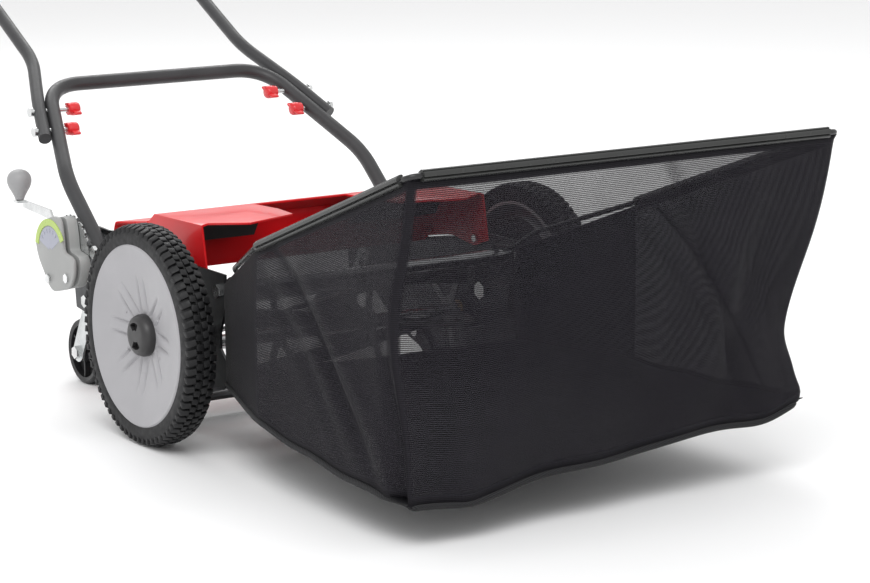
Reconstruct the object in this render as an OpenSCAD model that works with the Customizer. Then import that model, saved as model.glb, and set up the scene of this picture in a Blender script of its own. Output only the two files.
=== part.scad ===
// Push reel mower with a front grass catcher.
// +X is across the mower, -Y is forward towards the catcher, +Z is up.
// The origin is on the ground, half-way between the main wheels and under their axle.

/* [Overall] */
// Cutting width between the side plates
cut_w = 380; // [340:5:440]
// Diameter of the main wheels
wheel_d = 250; // [230:5:290]
// Height of cut at the middle setting
cut_height = 32; // [28:1:38]

/* [Wheels] */
// Width of a main tyre
wheel_w = 36; // [32:1:42]
// Radial height of the tyre over the disc
tyre_h = 22; // [18:1:24]
// Space between a side plate and a wheel
wheel_gap = 45; // [42:1:52]
// Radius of the axle bolts
axle_r = 6; // [5:0.5:7]
// Diameter of the rear wheels
rear_wheel_d = 80; // [70:2:90]
// Width of a rear wheel
rear_wheel_w = 24; // [20:1:28]

/* [Cutting unit] */
// Radius of the reel over the blades
reel_r = 62; // [58:1:64]
// Number of helical blades
blade_count = 5; // [4:1:6]
// Thickness of a reel blade
blade_t = 3; // [2:0.5:4]
// Turn of each blade from end to end, in degrees
blade_twist = 62; // [40:1:72]
// Thickness of a side plate
plate_t = 3; // [2.5:0.5:4]
// Thickness of the bed knife
knife_t = 3; // [2:0.5:4]
// Gap between the reel and the bed knife
knife_gap = 0.4; // [0.3:0.1:1]

/* [Gears] */
// Gear module
gear_module = 2; // [2:1:2]
// Teeth of the ring gear in each wheel
ring_teeth = 72; // [72:1:74]
// Teeth of the reel pinions
pinion_teeth = 12; // [12:1:13]

/* [Handle] */
// Outer radius of the lower handle tube
tube_r = 9; // [8:0.5:11]
// Outer radius of the upper handle tube
upper_tube_r = 8; // [7:0.5:9]
// Wall of the handle tubes
tube_wall = 1.2; // [1:0.1:2]
// Straight length of the upper handle legs
upper_leg = 460; // [380:10:520]
// Radius of the foam grip
grip_r = 15; // [12:1:18]

/* [Catcher] */
// Reach of the catcher ahead of the axle
catcher_reach = 546; // [480:2:580]
// Height of the catcher's front bar
catcher_top = 378; // [350:2:400]
// Height of the catcher's floor at the front
catcher_floor_front = 54; // [45:1:70]
// Height of the catcher's floor at the throat
catcher_floor_rear = 76; // [70:1:90]
// Radius of the catcher's frame wire
wire_r = 3; // [2.5:0.5:4]
// Thickness of the bag's panels
panel_t = 1.6; // [1.2:0.2:2.4]

/* [Hidden] */

$fn = 48;
// Radial clearance of a shaft in its hole
run_gap = 0.08;
// Space left between faces that pass each other
face_gap = 0.3;

wheel_r = wheel_d / 2;
plate_in = cut_w / 2 + 4;
plate_out = plate_in + plate_t;
wheel_in = plate_out + wheel_gap;
wheel_out = wheel_in + wheel_w;
disc_r = wheel_r - tyre_h;

// Gears and reel
ring_pitch_r = ring_teeth * gear_module / 2;
pinion_pitch_r = pinion_teeth * gear_module / 2;
gear_distance = ring_pitch_r - pinion_pitch_r;
reel_z = cut_height + reel_r;
reel_y = sqrt(pow(gear_distance, 2) - pow(wheel_r - reel_z, 2));
mesh_angle = atan2(reel_y, wheel_r - reel_z);
pressure_angle = 20;
gear_t = 10;
gear_x = wheel_in + 2;
shaft_r = 7;
journal_r = 6;
stub_r = 5;
reel_half = plate_in - 6;
blade_depth = 17;
spider_t = 3;
spider_x = [-reel_half + 6, -reel_half / 3, reel_half / 3, reel_half - 6 - spider_t];

// Side plate outline, in Y and Z; a nose at the front holds up the catcher's throat
throat_y = -70;
pivot_y = 205;
pivot_z = 182;
lever_y = 262;
lever_z = 175;
tie_y = -50;
tie_z = 176;
tie_r = 8;
rear_tie_y = 168;
rear_tie_z = 62;
plate_outline = [[-62, 196], [-62, 160], [-50, 128], [-50, 110], [throat_y + face_gap, 92],
    [throat_y + face_gap, 72], [-56, 64], [-28, 66], [4, 23], [112, 23], [186, 48], [250, 92],
    [300, 98], [304, 128], [280, 200], [240, 206], [212, 205], [180, 196], [120, 172], [60, 182], [20, 196]];

// Rear wheel carrier: it slides along a line that leans forward
slide_lean = 26.5;
slide_y = -sin(slide_lean);
slide_z = cos(slide_lean);
rear_wheel_r = rear_wheel_d / 2;
rear_y = 306;
rear_z = rear_wheel_r;
strap_len = 150;
strap_half = 12;
strap_t = 3;
slide_travel = 10;
guide_r = 4;
guide_at = [78, 110];
crank_e = 20;
crank_pin_r = 3;
lever_shaft_r = 5;
crank_y = lever_y - crank_e * slide_z;
crank_z = lever_z + crank_e * slide_y;

// Height housing
housing_in = plate_out + 24;
housing_out = plate_out + 48;
housing_wall = 2.4;
lever_x = plate_out + 37;
lever_t = 3;
knob_y = 362;
knob_z = 246;

// Handle
leg_x = plate_out + tube_r + 3;
bend_y = 293;
bend_z = 256;
cross_y = 447;
cross_z = 348.5;
cross_x = leg_x - 54;
cross_flat = cross_x - 69;
leg_run = [cross_x - leg_x, cross_y - bend_y, cross_z - bend_z];
// The tubes lie side by side and lean in together, so their spacing along X is a little more
leg_lean = sqrt(1 - pow(leg_run[0] / norm(leg_run), 2));
overlap_x = (tube_r + upper_tube_r + 0.4) / leg_lean;
upper_slope = 28.2;
upper_x = cross_x - 5;
upper_y = 588;
upper_z = 424;
top_corner = 62;
bolt_r = 3;
bolt_at = [0.52, 0.73];
// Space from the side of the sloping tube to each wing nut
nut_seat = [3.8, 10.8];
nut_len = 15.5;

// Catcher
catch_front_x = wheel_out - 8.4;
catch_rear_x = wheel_in + 8;
throat_x = plate_out + 3;
catch_rear_y = -wheel_r - 96;
catch_rear_z = 257;
throat_z = 204;
catch_lean = 17;
clip_r = 5.4;
piping_r = 3;

// ---- helpers ----
module right_side() {
    mirror([1, 0, 0]) children();
}

module both_sides() {
    children();
    right_side() children();
}

// A solid of revolution about X: the profile is [radius, distance along X]
module spin_x(x = 0, y = 0, z = 0, turn = 0) {
    translate([x, y, z]) rotate([0, 90, 0]) rotate([0, 0, turn]) children();
}

module rod_x(x0, x1, y, z, r) {
    spin_x(x0, y, z) cylinder(h = x1 - x0, r = r);
}

module hex_x(x0, x1, y, z, r) {
    spin_x(x0, y, z) cylinder(h = x1 - x0, r = r, $fn = 6);
}

// A flat plate that stands across X; the outline is in Y and Z
module plate_x(outline, x0, t) {
    translate([x0, 0, 0]) rotate([90, 0, 90]) linear_extrude(t) polygon(outline);
}

module bar(p, q, r) {
    d = q - p;
    len = norm(d);
    translate(p) rotate([0, acos(d[2] / len), atan2(d[1], d[0])]) cylinder(h = len, r = r);
}

function unit(v) = v / norm(v);

// Corners of the tube's section at point i: they lie in the plane that halves the bend there
function section(path, i, r, sides, up) = let (last = len(path) - 1,
    t_in = unit(path[max(i, 1)] - path[max(i, 1) - 1]),
    t_out = unit(path[min(i, last - 1) + 1] - path[min(i, last - 1)]),
    normal = unit(t_in + t_out), u = unit(cross(t_in, up)), v = cross(u, t_in))
    [for (k = [0 : sides - 1]) let (a = 360 * k / sides, w = r * (cos(a) * u + sin(a) * v))
        path[i] + w - t_in * ((w * normal) / (t_in * normal))];

// A rod or tube along a path. up is a direction that the path never runs along; wall 0 makes a rod
module swept(path, r, wall, sides, up) {
    n = len(path);
    rings = wall > 0 ? 2 * n : n;
    points = [for (i = [0 : rings - 1], p = section(path, i % n, i < n ? r : r - wall, sides, up)) p];
    outside = [for (i = [0 : n - 2], k = [0 : sides - 1], h = [0, 1]) let (j = (k + 1) % sides, a = i * sides)
        h == 0 ? [a + k, a + sides + k, a + sides + j] : [a + k, a + sides + j, a + j]];
    inside = [for (f = outside) [for (q = [2 : -1 : 0]) f[q] + n * sides]];
    end = (n - 1) * sides;
    caps = wall > 0 ? [for (k = [0 : sides - 1], h = [0, 1]) let (j = (k + 1) % sides, m = n * sides)
            h == 0 ? [k, j, m + j, m + k] : [end + j, end + k, m + end + k, m + end + j]]
        : [[for (k = [0 : sides - 1]) k], [for (k = [sides - 1 : -1 : 0]) end + k]];
    polyhedron(points, concat(outside, wall > 0 ? inside : [], caps));
}

function mirrored(path) = [for (i = [len(path) - 1 : -1 : 0]) [-path[i][0], path[i][1], path[i][2]]];

// Points of a rounded corner from a to c, with its control point at b
function corner(a, b, c, n) = [for (i = [0 : n]) let (t = i / n)
    a * (1 - t) * (1 - t) + b * 2 * t * (1 - t) + c * t * t];

// ---- gears ----
function involute(base_r, r) = sqrt(max(pow(r / base_r, 2) - 1, 0)) * 180 / PI
    - acos(min(base_r / r, 1));

// Half of a tooth's angle at radius r; thin is the tooth's loss of thickness
function half_tooth(teeth, r, thin) = let (pitch_r = teeth * gear_module / 2,
    base_r = pitch_r * cos(pressure_angle))
    90 / teeth - thin / pitch_r * 90 / PI + involute(base_r, pitch_r) - involute(base_r, max(r, base_r));

function gear_outline(teeth, root_r, tip_r, thin) = let (steps = 4)
    [for (i = [0 : teeth - 1], side = [-1, 1], k = [0 : steps])
        let (f = side < 0 ? k / steps : 1 - k / steps, r = root_r + (tip_r - root_r) * f,
            a = i * 360 / teeth + side * half_tooth(teeth, r, thin)) [r * cos(a), r * sin(a)]];

// ---- side plates and tie rods ----
module side_plate() {
    color("silver") difference() {
        union() {
            plate_x(plate_outline, plate_in, plate_t);
            rod_x(plate_in, plate_out, pivot_y, pivot_z, 24);
        }
        rod_x(plate_in - 1, plate_out + 1, 0, wheel_r, axle_r);
        rod_x(plate_in - 1, plate_out + 1, reel_y, reel_z, shaft_r + 4);
        rod_x(plate_in - 1, plate_out + 1, tie_y, tie_z, bolt_r + 1);
        rod_x(plate_in - 1, plate_out + 1, rear_tie_y, rear_tie_z, bolt_r + 1);
        rod_x(plate_in - 1, plate_out + 1, pivot_y, pivot_z, 5);
        rod_x(plate_in - 1, plate_out + 1, lever_y, lever_z, lever_shaft_r + run_gap);
        rod_x(plate_in - 1, plate_out + 1, knife_pivot_y, knife_pivot_z, 4);
        for (t = guide_at) rod_x(plate_in - 1, plate_out + 1, rear_y + t * slide_y, rear_z + t * slide_z, guide_r);
        for (p = housing_bolt_at) rod_x(plate_in - 1, plate_out + 1, p[0], p[1], 3);
    }
}

module side_plate_right() {
    right_side() side_plate();
}

module side_plate_left() {
    side_plate();
}

module tie_rod(y, z) {
    difference() {
        rod_x(-plate_in, plate_in, y, z, tie_r);
        both_sides() rod_x(plate_in - 20, plate_in + 1, y, z, bolt_r + 1);
    }
}

module front_tie_rod() {
    color("silver") tie_rod(tie_y, tie_z);
}

module rear_tie_rod() {
    color("silver") tie_rod(rear_tie_y, rear_tie_z);
}

module tie_rod_bolts() {
    color("gainsboro") both_sides() for (p = [[tie_y, tie_z], [rear_tie_y, rear_tie_z]]) {
        rod_x(plate_in - 19, plate_out + 1, p[0], p[1], bolt_r + 1);
        hex_x(plate_out, plate_out + 5, p[0], p[1], 8);
    }
}

// ---- main wheels ----
// The outer face of a wheel is dished: it runs in from the rim to the hub
dish = 14;
axle_head_x = wheel_out - dish + face_gap;
// The nut stays clear of the ends of the reel blades
axle_nut_t = 5;

module axle_bolts() {
    color("gainsboro") both_sides() {
        rod_x(plate_in - axle_nut_t, axle_head_x + 1, 0, wheel_r, axle_r);
        hex_x(plate_in - axle_nut_t, plate_in, 0, wheel_r, 11);
        rod_x(plate_out, wheel_in - 3, 0, wheel_r, axle_r + 4);
        rod_x(axle_head_x, axle_head_x + 5, 0, wheel_r, axle_r + 5);
    }
}

module tyre() {
    color("#2b2b2d") difference() {
        spin_x(0, 0, wheel_r) rotate_extrude($fn = 96) polygon([[disc_r, wheel_in + 1],
            [disc_r + 9, wheel_in], [wheel_r - 6, wheel_in], [wheel_r, wheel_in + 6],
            [wheel_r, wheel_out - 6], [wheel_r - 6, wheel_out], [disc_r + 9, wheel_out],
            [disc_r, wheel_out - 1]]);
        for (f = [0.34, 0.62]) spin_x(wheel_in + wheel_w * f, 0, wheel_r) difference() {
            cylinder(h = 2, r = wheel_r + 1, $fn = 96);
            translate([0, 0, -1]) cylinder(h = 4, r = wheel_r - 5, $fn = 96);
        }
    }
}

hub_r = 24;
gear_wall = 4.5;
ring_out_r = ring_pitch_r + 1.3 * gear_module + gear_wall;

module wheel_disc() {
    color("#c6c6c9") spin_x(0, 0, wheel_r) rotate_extrude($fn = 96) polygon([
        [axle_r + run_gap, gear_x], [15, gear_x], [15, wheel_out - dish - 4],
        [ring_out_r, wheel_out - dish + 5], [ring_out_r, gear_x], [ring_out_r + 3, gear_x],
        [ring_out_r + 3, wheel_out - dish + 5.5], [disc_r - 4, wheel_out - 5], [disc_r - 4, wheel_in + 1],
        [disc_r, wheel_in + 1], [disc_r, wheel_out - 1], [disc_r - 4, wheel_out],
        [hub_r, wheel_out - dish], [axle_r + run_gap, wheel_out - dish]]);
}

module ring_gear() {
    color("#3a3a3c") spin_x(gear_x, 0, wheel_r, mesh_angle) difference() {
        cylinder(h = gear_t, r = ring_out_r, $fn = 96);
        translate([0, 0, -1]) linear_extrude(gear_t + 2) polygon(gear_outline(ring_teeth,
            ring_pitch_r - 0.35 * gear_module, ring_pitch_r + 1.3 * gear_module, -0.25));
    }
}

module hub_cap() {
    color("#333336") spin_x(0, 0, wheel_r) rotate_extrude() polygon([
        [hub_r, wheel_out - dish], [hub_r - 3, wheel_out - dish], [hub_r - 3, wheel_out - 4],
        [0, wheel_out - 4], [0, wheel_out], [hub_r - 8, wheel_out], [hub_r - 2, wheel_out - 4]]);
}

module tyre_left() {
    tyre();
}

module wheel_disc_left() {
    wheel_disc();
}

module ring_gear_left() {
    ring_gear();
}

module hub_cap_left() {
    hub_cap();
}

module tyre_right() {
    right_side() tyre();
}

module wheel_disc_right() {
    right_side() wheel_disc();
}

module ring_gear_right() {
    right_side() ring_gear();
}

module hub_cap_right() {
    right_side() hub_cap();
}

module dust_covers() {
    color("#2f2f31") both_sides() difference() {
        rod_x(wheel_in - 3, wheel_in - 1, 0, wheel_r, ring_out_r + 8);
        rod_x(wheel_in - 4, wheel_in, 0, wheel_r, axle_r);
        rod_x(wheel_in - 4, wheel_in, reel_y, reel_z, stub_r + 2);
    }
}

// ---- reel ----
module reel_shaft() {
    color("silver") difference() {
        union() {
            rod_x(-plate_in + 2, plate_in - 2, reel_y, reel_z, shaft_r);
            rod_x(-plate_out - 1, plate_out + 1, reel_y, reel_z, journal_r);
            rod_x(-gear_x - gear_t, gear_x + gear_t, reel_y, reel_z, stub_r);
        }
        both_sides() translate([gear_x + 3, reel_y - 8, reel_z - 1.6]) cube([3.2, 16, 3.2]);
    }
}

module reel_bearings() {
    color("goldenrod") both_sides() difference() {
        union() {
            rod_x(plate_in - 1, plate_out + 2, reel_y, reel_z, shaft_r + 4);
            rod_x(plate_out, plate_out + 2, reel_y, reel_z, shaft_r + 8);
        }
        rod_x(plate_in - 2, plate_out + 3, reel_y, reel_z, journal_r + run_gap);
    }
}

module spider(start) {
    linear_extrude(spider_t) difference() {
        union() {
            circle(17);
            for (i = [0 : blade_count - 1]) rotate(start + i * 360 / blade_count)
                translate([12, -5]) square([reel_r - 20, 10]);
        }
        circle(shaft_r);
    }
}

module reel_spiders() {
    color("#b3b5b8") for (x = spider_x) spin_x(x, reel_y, reel_z)
        spider(blade_twist * (x + reel_half) / (2 * reel_half));
}

blade_steps = 18;

function blade_section(inner) = [[inner, 6], [inner, 6 + blade_t], [reel_r - 0.1, blade_t / 2],
    [reel_r - 0.1, -blade_t / 2]];

// One helical blade: its section turns evenly from end to end
module blade(start) {
    base = blade_section(reel_r - blade_depth);
    n = len(base);
    points = [for (i = [0 : blade_steps], q = base) let (a = start + blade_twist * i / blade_steps)
        [q[0] * cos(a) - q[1] * sin(a), q[0] * sin(a) + q[1] * cos(a), 2 * reel_half * i / blade_steps]];
    sides = [for (i = [0 : blade_steps - 1], k = [0 : n - 1], h = [0, 1]) let (j = (k + 1) % n, a = i * n)
        h == 0 ? [a + k, a + n + j, a + j] : [a + k, a + n + k, a + n + j]];
    polyhedron(points, concat(sides, [[0, 1, 2, 3], [for (k = [3 : -1 : 0]) blade_steps * n + k]]));
}

module reel_blades() {
    color("#8d9094") spin_x(-reel_half, reel_y, reel_z)
        for (i = [0 : blade_count - 1]) blade(i * 360 / blade_count);
}

module pinions() {
    color("#9a9ca0") both_sides() spin_x(gear_x, reel_y, reel_z, mesh_angle) difference() {
        linear_extrude(gear_t) polygon(gear_outline(pinion_teeth,
            pinion_pitch_r - 1.05 * gear_module, pinion_pitch_r + gear_module, 0.25));
        translate([0, 0, -1]) cylinder(h = gear_t + 2, r = stub_r);
        for (a = [0, 60, 120]) rotate([0, 0, a - mesh_angle]) translate([-2, -7.6, 2]) cube([4, 15.2, 5.2]);
    }
}

module drive_pawls() {
    color("#6f7175") both_sides()
        translate([gear_x + 3.1, reel_y - 7.2, reel_z - 1.5]) cube([3, 14.4, 3]);
}

// ---- bed knife ----
knife_top = reel_z - reel_r - knife_gap;
knife_half = plate_in - 5;
knife_pivot_y = reel_y + 84;
knife_pivot_z = 52;
lug_t = 3;

module knife_lug() {
    difference() {
        plate_x([[reel_y + 14, knife_top - knife_t - 8], [reel_y + 60, knife_top - knife_t - 8],
            [knife_pivot_y + 9, knife_pivot_z - 8], [knife_pivot_y + 9, knife_pivot_z + 9],
            [knife_pivot_y - 8, knife_pivot_z + 9], [reel_y + 46, knife_top - knife_t],
            [reel_y + 14, knife_top - knife_t]], knife_half, lug_t);
        rod_x(knife_half - 1, knife_half + lug_t + 1, knife_pivot_y, knife_pivot_z, 4 + run_gap);
    }
}

module knife_bar() {
    color("#303133") union() {
        difference() {
            translate([-knife_half, reel_y + 6, knife_top - knife_t - 6]) cube([2 * knife_half, 34, 6]);
            for (x = knife_screw_x) translate([x, reel_y + 18, 0]) cylinder(h = knife_top, r = 2.5);
        }
        both_sides() knife_lug();
    }
}

knife_screw_x = [for (i = [-2 : 2]) i * (knife_half - 20) / 2];

module bed_knife() {
    color("#a2a5a9") difference() {
        translate([-knife_half, reel_y - 2, knife_top - knife_t]) cube([2 * knife_half, 28, knife_t]);
        for (x = knife_screw_x) translate([x, reel_y + 18, knife_top - knife_t - 1])
            cylinder(h = knife_t + 2, r = 2.5);
    }
}

module knife_screws() {
    color("gainsboro") for (x = knife_screw_x) translate([x, reel_y + 18, knife_top - knife_t - 9]) {
        cylinder(h = knife_t + 9, r = 2.5);
        cylinder(h = 3, r = 4.5, $fn = 6);
    }
}

module knife_pivot_bolts() {
    color("gainsboro") both_sides() {
        rod_x(knife_half - 1, plate_out + 1, knife_pivot_y, knife_pivot_z, 4);
        hex_x(plate_out, plate_out + 5, knife_pivot_y, knife_pivot_z, 8);
        rod_x(knife_half - 5, knife_half - 0.5, knife_pivot_y, knife_pivot_z, 7);
    }
}

// ---- covers ----
cover_half = plate_in - 1;
cover_t = 2.5;
cover_front_z = 245;
cover_rear_y = 106;
cover_rear_z = 240;
cover_back_y = 124;
cover_profile = [[-44, cover_front_z + 1], [cover_rear_y, cover_rear_z], [cover_back_y, 226],
    [cover_back_y, 168], [cover_back_y - cover_t, 168], [cover_back_y - cover_t, 225],
    [cover_rear_y - 1, cover_rear_z - cover_t], [-44, cover_front_z + 1 - cover_t]];
// Space in front of the lip, seen from above: two beaks stand either side of a wide bay
cover_notch = [[-cover_half - 1, -3], [-cover_half + 47, -33], [-73, -4], [-64, 44], [-64, 100], [64, 100],
    [64, 44], [73, -4], [cover_half - 47, -33], [cover_half + 1, -3], [cover_half + 1, -60], [-cover_half - 1, -60]];
cover_screw_at = [[8, 188], [104, 186]];

module cover_side() {
    difference() {
        plate_x([[-4, cover_front_z - 2], [-15, 188], [12, 178], [60, 184], [112, 176], [cover_back_y - 1, 200],
            [cover_back_y - 1, 225], [cover_rear_y, cover_rear_z - 1]], cover_half - cover_t - 0.2, cover_t);
        for (p = cover_screw_at) rod_x(cover_half - cover_t - 1, cover_half + 1, p[0], p[1], 2.5);
    }
}

module deflector_cover() {
    color("#cf1a22") union() {
        difference() {
            plate_x(cover_profile, -cover_half, 2 * cover_half);
            translate([0, 0, cover_front_z - 20]) linear_extrude(40) polygon(cover_notch);
        }
        both_sides() cover_side();
    }
}

module rear_apron() {
    color("#cf1a22") plate_x([[cover_back_y, 229], [204, 217], [210, 196], [207.5, 195.5], [202, 215],
        [cover_back_y, 226.2]], -cover_half, 2 * cover_half);
}

module cover_screws() {
    color("gainsboro") both_sides() for (p = cover_screw_at) {
        rod_x(cover_half - cover_t - 4, plate_in, p[0], p[1], 2.5);
        hex_x(cover_half - cover_t - 4.2, cover_half - cover_t - 0.2, p[0], p[1], 5);
    }
}

// ---- height adjuster ----
housing_bolt_at = [[228, 150], [276, 142]];
housing_outline = [[312, 184], [305, 201], [283, 213], [262, 220], [246, 220], [240, 199], [238, 180],
    [213, 176], [210, 158], [222, 138], [271, 126], [305, 164]];
housing_inner = [[309, 184], [303, 199], [282, 210.4], [262, 217.4], [248, 217.4], [242.6, 199], [240.6, 178],
    [215.2, 174], [212.6, 158], [223.4, 140.4], [270, 128.8], [302.4, 165]];
lever_slot = [[290, 186], [330, 186], [330, 245], [252, 245], [252, 205], [280, 200]];

module height_housing() {
    color("#c3c4c6") right_side() difference() {
        plate_x(housing_outline, housing_in, housing_out - housing_in);
        plate_x(housing_inner, housing_in - 1, housing_out - housing_in - housing_wall + 1);
        plate_x(lever_slot, lever_x - 1, lever_t + 2);
        for (p = housing_bolt_at) rod_x(housing_in - 1, housing_out + 1, p[0], p[1], 3);
    }
}

module housing_trim() {
    color("yellowgreen") right_side() difference() {
        intersection() {
            plate_x(housing_outline, housing_out, 1.2);
            rod_x(housing_out - 1, housing_out + 2, 271, 178, 41);
        }
        rod_x(housing_out - 1, housing_out + 2, 271, 178, 33);
        plate_x([[200, 182], [200, 100], [330, 100], [330, 182]], housing_out - 1, 4);
    }
}

module quadrant_plate() {
    color("silver") right_side() difference() {
        union() {
            intersection() {
                rod_x(housing_in - 2.3, housing_in - face_gap, lever_y, lever_z, 44);
                plate_x([[200, 160], [330, 160], [330, 230], [200, 230]], housing_in - 3, 4);
            }
            plate_x([[219, 142], [280, 132], [292, 165], [222, 165]], housing_in - 2.3, 2);
        }
        rod_x(housing_in - 3, housing_in + 1, lever_y, lever_z, lever_shaft_r + run_gap);
        for (p = housing_bolt_at) rod_x(housing_in - 3, housing_in + 1, p[0], p[1], 3);
        for (a = [20 : 14 : 160]) rod_x(housing_in - 3, housing_in + 1, lever_y + 44 * cos(a), lever_z + 44 * sin(a), 3);
    }
}

module housing_bolts() {
    color("gainsboro") right_side() for (p = housing_bolt_at) {
        rod_x(plate_in - 4, housing_out + 1, p[0], p[1], 3);
        rod_x(plate_out, housing_in - 2.3, p[0], p[1], 6);
        hex_x(housing_out, housing_out + 3, p[0], p[1], 6);
    }
}

// The shaft carries an eccentric pin that works in the slot of the right strap
module height_shaft() {
    color("silver") right_side() union() {
        rod_x(plate_in - 9, lever_x + lever_t + 1, lever_y, lever_z, lever_shaft_r);
        plate_x([[lever_y - 2, lever_z - 9], [lever_y + 7, lever_z - 5], [lever_y + 7, lever_z + 6],
            [lever_y - 4, lever_z + 8], [crank_y - 6, crank_z + 5], [crank_y - 4, crank_z - 6]], plate_in - 9, 4);
        rod_x(plate_in - 6, plate_in - 1, crank_y, crank_z, crank_pin_r);
    }
}

module height_lever() {
    color("gainsboro") right_side() difference() {
        union() {
            plate_x([[lever_y - 8, lever_z - 6], [lever_y + 4, lever_z - 9], [lever_y + 12, lever_z],
                [lever_y + 32, lever_z + 37], [lever_y + 96, lever_z + 41], [lever_y + 96, lever_z + 50],
                [lever_y + 24, lever_z + 48], [lever_y - 8, lever_z + 5]], lever_x, lever_t);
            translate([lever_x, lever_y + 92, lever_z + 47]) cube([12, 12, 3]);
            translate([lever_x + 6, lever_y + 98, lever_z + 49]) cylinder(h = 10, r = 2);
        }
        rod_x(lever_x - 1, lever_x + lever_t + 1, lever_y, lever_z, lever_shaft_r);
    }
}

module lever_knob() {
    color("#a9aaac") right_side() translate([lever_x + 6, lever_y + 98, lever_z + 50.1])
        rotate_extrude() polygon([[2, 0], [5, 0], [7, 5], [13, 16], [15, 24], [13.5, 31], [8, 36], [0, 37.5],
            [0, 10], [2, 10]]);
}

// ---- rear wheels ----
function on_slide(t) = [rear_y + t * slide_y, rear_z + t * slide_z];

strap_x = plate_in - face_gap - strap_t;

module slide_slot(t, r, reach) {
    for (s = [-reach, reach]) rod_x(strap_x - 1, strap_x + strap_t + 1, on_slide(t + s)[0], on_slide(t + s)[1], r);
    translate([strap_x - 1, on_slide(t)[0], on_slide(t)[1]]) rotate([slide_lean, 0, 0])
        translate([0, -r, -reach]) cube([strap_t + 2, 2 * r, 2 * reach]);
}

module strap_blank() {
    translate([strap_x, rear_y, rear_z]) rotate([slide_lean, 0, 0])
        translate([0, -strap_half, 0]) cube([strap_t, 2 * strap_half, strap_len]);
    rod_x(strap_x, strap_x + strap_t, rear_y, rear_z, strap_half);
}

module rear_straps() {
    color("silver") {
        difference() {
            strap_blank();
            for (t = guide_at) slide_slot(t, guide_r + 0.2, slide_travel);
            rod_x(strap_x - 1, plate_in + 1, rear_y, rear_z, 5);
        }
        right_side() difference() {
            strap_blank();
            for (t = guide_at) slide_slot(t, guide_r + 0.2, slide_travel);
            rod_x(strap_x - 1, plate_in + 1, rear_y, rear_z, 5);
            translate([strap_x - 1, crank_y, crank_z]) rotate([slide_lean, 0, 0])
                translate([0, -crank_pin_r - 2.2, -crank_pin_r - 1])
                    cube([strap_t + 2, 2 * crank_pin_r + 6.6, 2 * crank_pin_r + 2]);
        }
    }
}

module guide_bolts() {
    color("gainsboro") both_sides() for (t = guide_at) {
        rod_x(strap_x - 1, plate_out + 1, on_slide(t)[0], on_slide(t)[1], guide_r);
        hex_x(plate_out, plate_out + 5, on_slide(t)[0], on_slide(t)[1], 8);
        rod_x(strap_x - 4, strap_x - face_gap, on_slide(t)[0], on_slide(t)[1], 7.5);
    }
}

module rear_cross_tube() {
    t = 52;
    color("silver") difference() {
        rod_x(-strap_x, strap_x, on_slide(t)[0], on_slide(t)[1], 7);
        rod_x(-strap_x - 1, strap_x + 1, on_slide(t)[0], on_slide(t)[1], 5.6);
    }
}

rear_in = strap_x - 3 - rear_wheel_w;

module rear_axle_bolts() {
    color("gainsboro") both_sides() {
        rod_x(rear_in - 2, strap_x + strap_t, rear_y, rear_z, 5);
        rod_x(rear_in - 5, rear_in - 1, rear_y, rear_z, 8);
        rod_x(strap_x - 2, strap_x, rear_y, rear_z, 8);
        hex_x(strap_x + strap_t, strap_x + strap_t + 5, rear_y, rear_z, 8);
    }
}

module rear_wheel() {
    color("#262628") spin_x(rear_in, rear_y, rear_z) rotate_extrude($fn = 64) polygon([
        [5 + run_gap, 0], [12, 0], [12, rear_wheel_w / 2 - 2], [rear_wheel_r - 8, rear_wheel_w / 2 - 2],
        [rear_wheel_r - 8, 1], [rear_wheel_r - 3, 0], [rear_wheel_r, 3], [rear_wheel_r, rear_wheel_w - 3],
        [rear_wheel_r - 3, rear_wheel_w], [rear_wheel_r - 8, rear_wheel_w - 1],
        [rear_wheel_r - 8, rear_wheel_w / 2 + 2], [12, rear_wheel_w / 2 + 2], [12, rear_wheel_w],
        [5 + run_gap, rear_wheel_w]]);
}

module rear_wheel_right() {
    right_side() rear_wheel();
}

module rear_wheel_left() {
    rear_wheel();
}

// ---- handle ----
function on_leg(t) = [leg_x, bend_y, bend_z] + leg_run * t;
pivot_step = [0, bend_y - pivot_y, bend_z - pivot_z] / norm([0, bend_y - pivot_y, bend_z - pivot_z]);
pivot_point = [leg_x, pivot_y, pivot_z];
leg_path = concat([pivot_point - pivot_step * 10],
    corner([leg_x, bend_y, bend_z] - pivot_step * 22, [leg_x, bend_y, bend_z], on_leg(0.13), 3),
    corner(on_leg(0.62), on_leg(1), [cross_flat, cross_y, cross_z], 5));
upper_step = [0, cos(upper_slope), sin(upper_slope)];
upper_base = [upper_x, upper_y, upper_z];
upper_end = upper_base + upper_step * upper_leg;
upper_path = concat([on_leg(0.44) + [overlap_x, 0, 0], on_leg(0.8) + [overlap_x, 0, 0],
    [upper_x + 1, cross_y + 48, cross_z + 26], upper_base],
    [for (i = [0 : 6]) upper_end + upper_step * top_corner * sin(i * 15) - [top_corner * (1 - cos(i * 15)), 0, 0]]);
tube_sides = 16;
slope_up = unit([0, -leg_run[2], leg_run[1]]);

module bolt_holes(x0, x1) {
    for (t = bolt_at) rod_x(x0, x1, on_leg(t)[1], on_leg(t)[2], bolt_r);
}

module lower_handle() {
    color("#3b3c3f") difference() {
        swept(concat(leg_path, mirrored(leg_path)), tube_r, tube_wall, tube_sides, slope_up);
        both_sides() bolt_holes(cross_x - 20, leg_x + 20);
        both_sides() rod_x(plate_out, leg_x + 20, pivot_y, pivot_z, 5 + run_gap);
    }
}

module upper_handle() {
    color("#3b3c3f") difference() {
        swept(concat(upper_path, mirrored(upper_path)), upper_tube_r, tube_wall, tube_sides, slope_up);
        both_sides() bolt_holes(cross_x - 20, leg_x + 40);
    }
}

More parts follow.
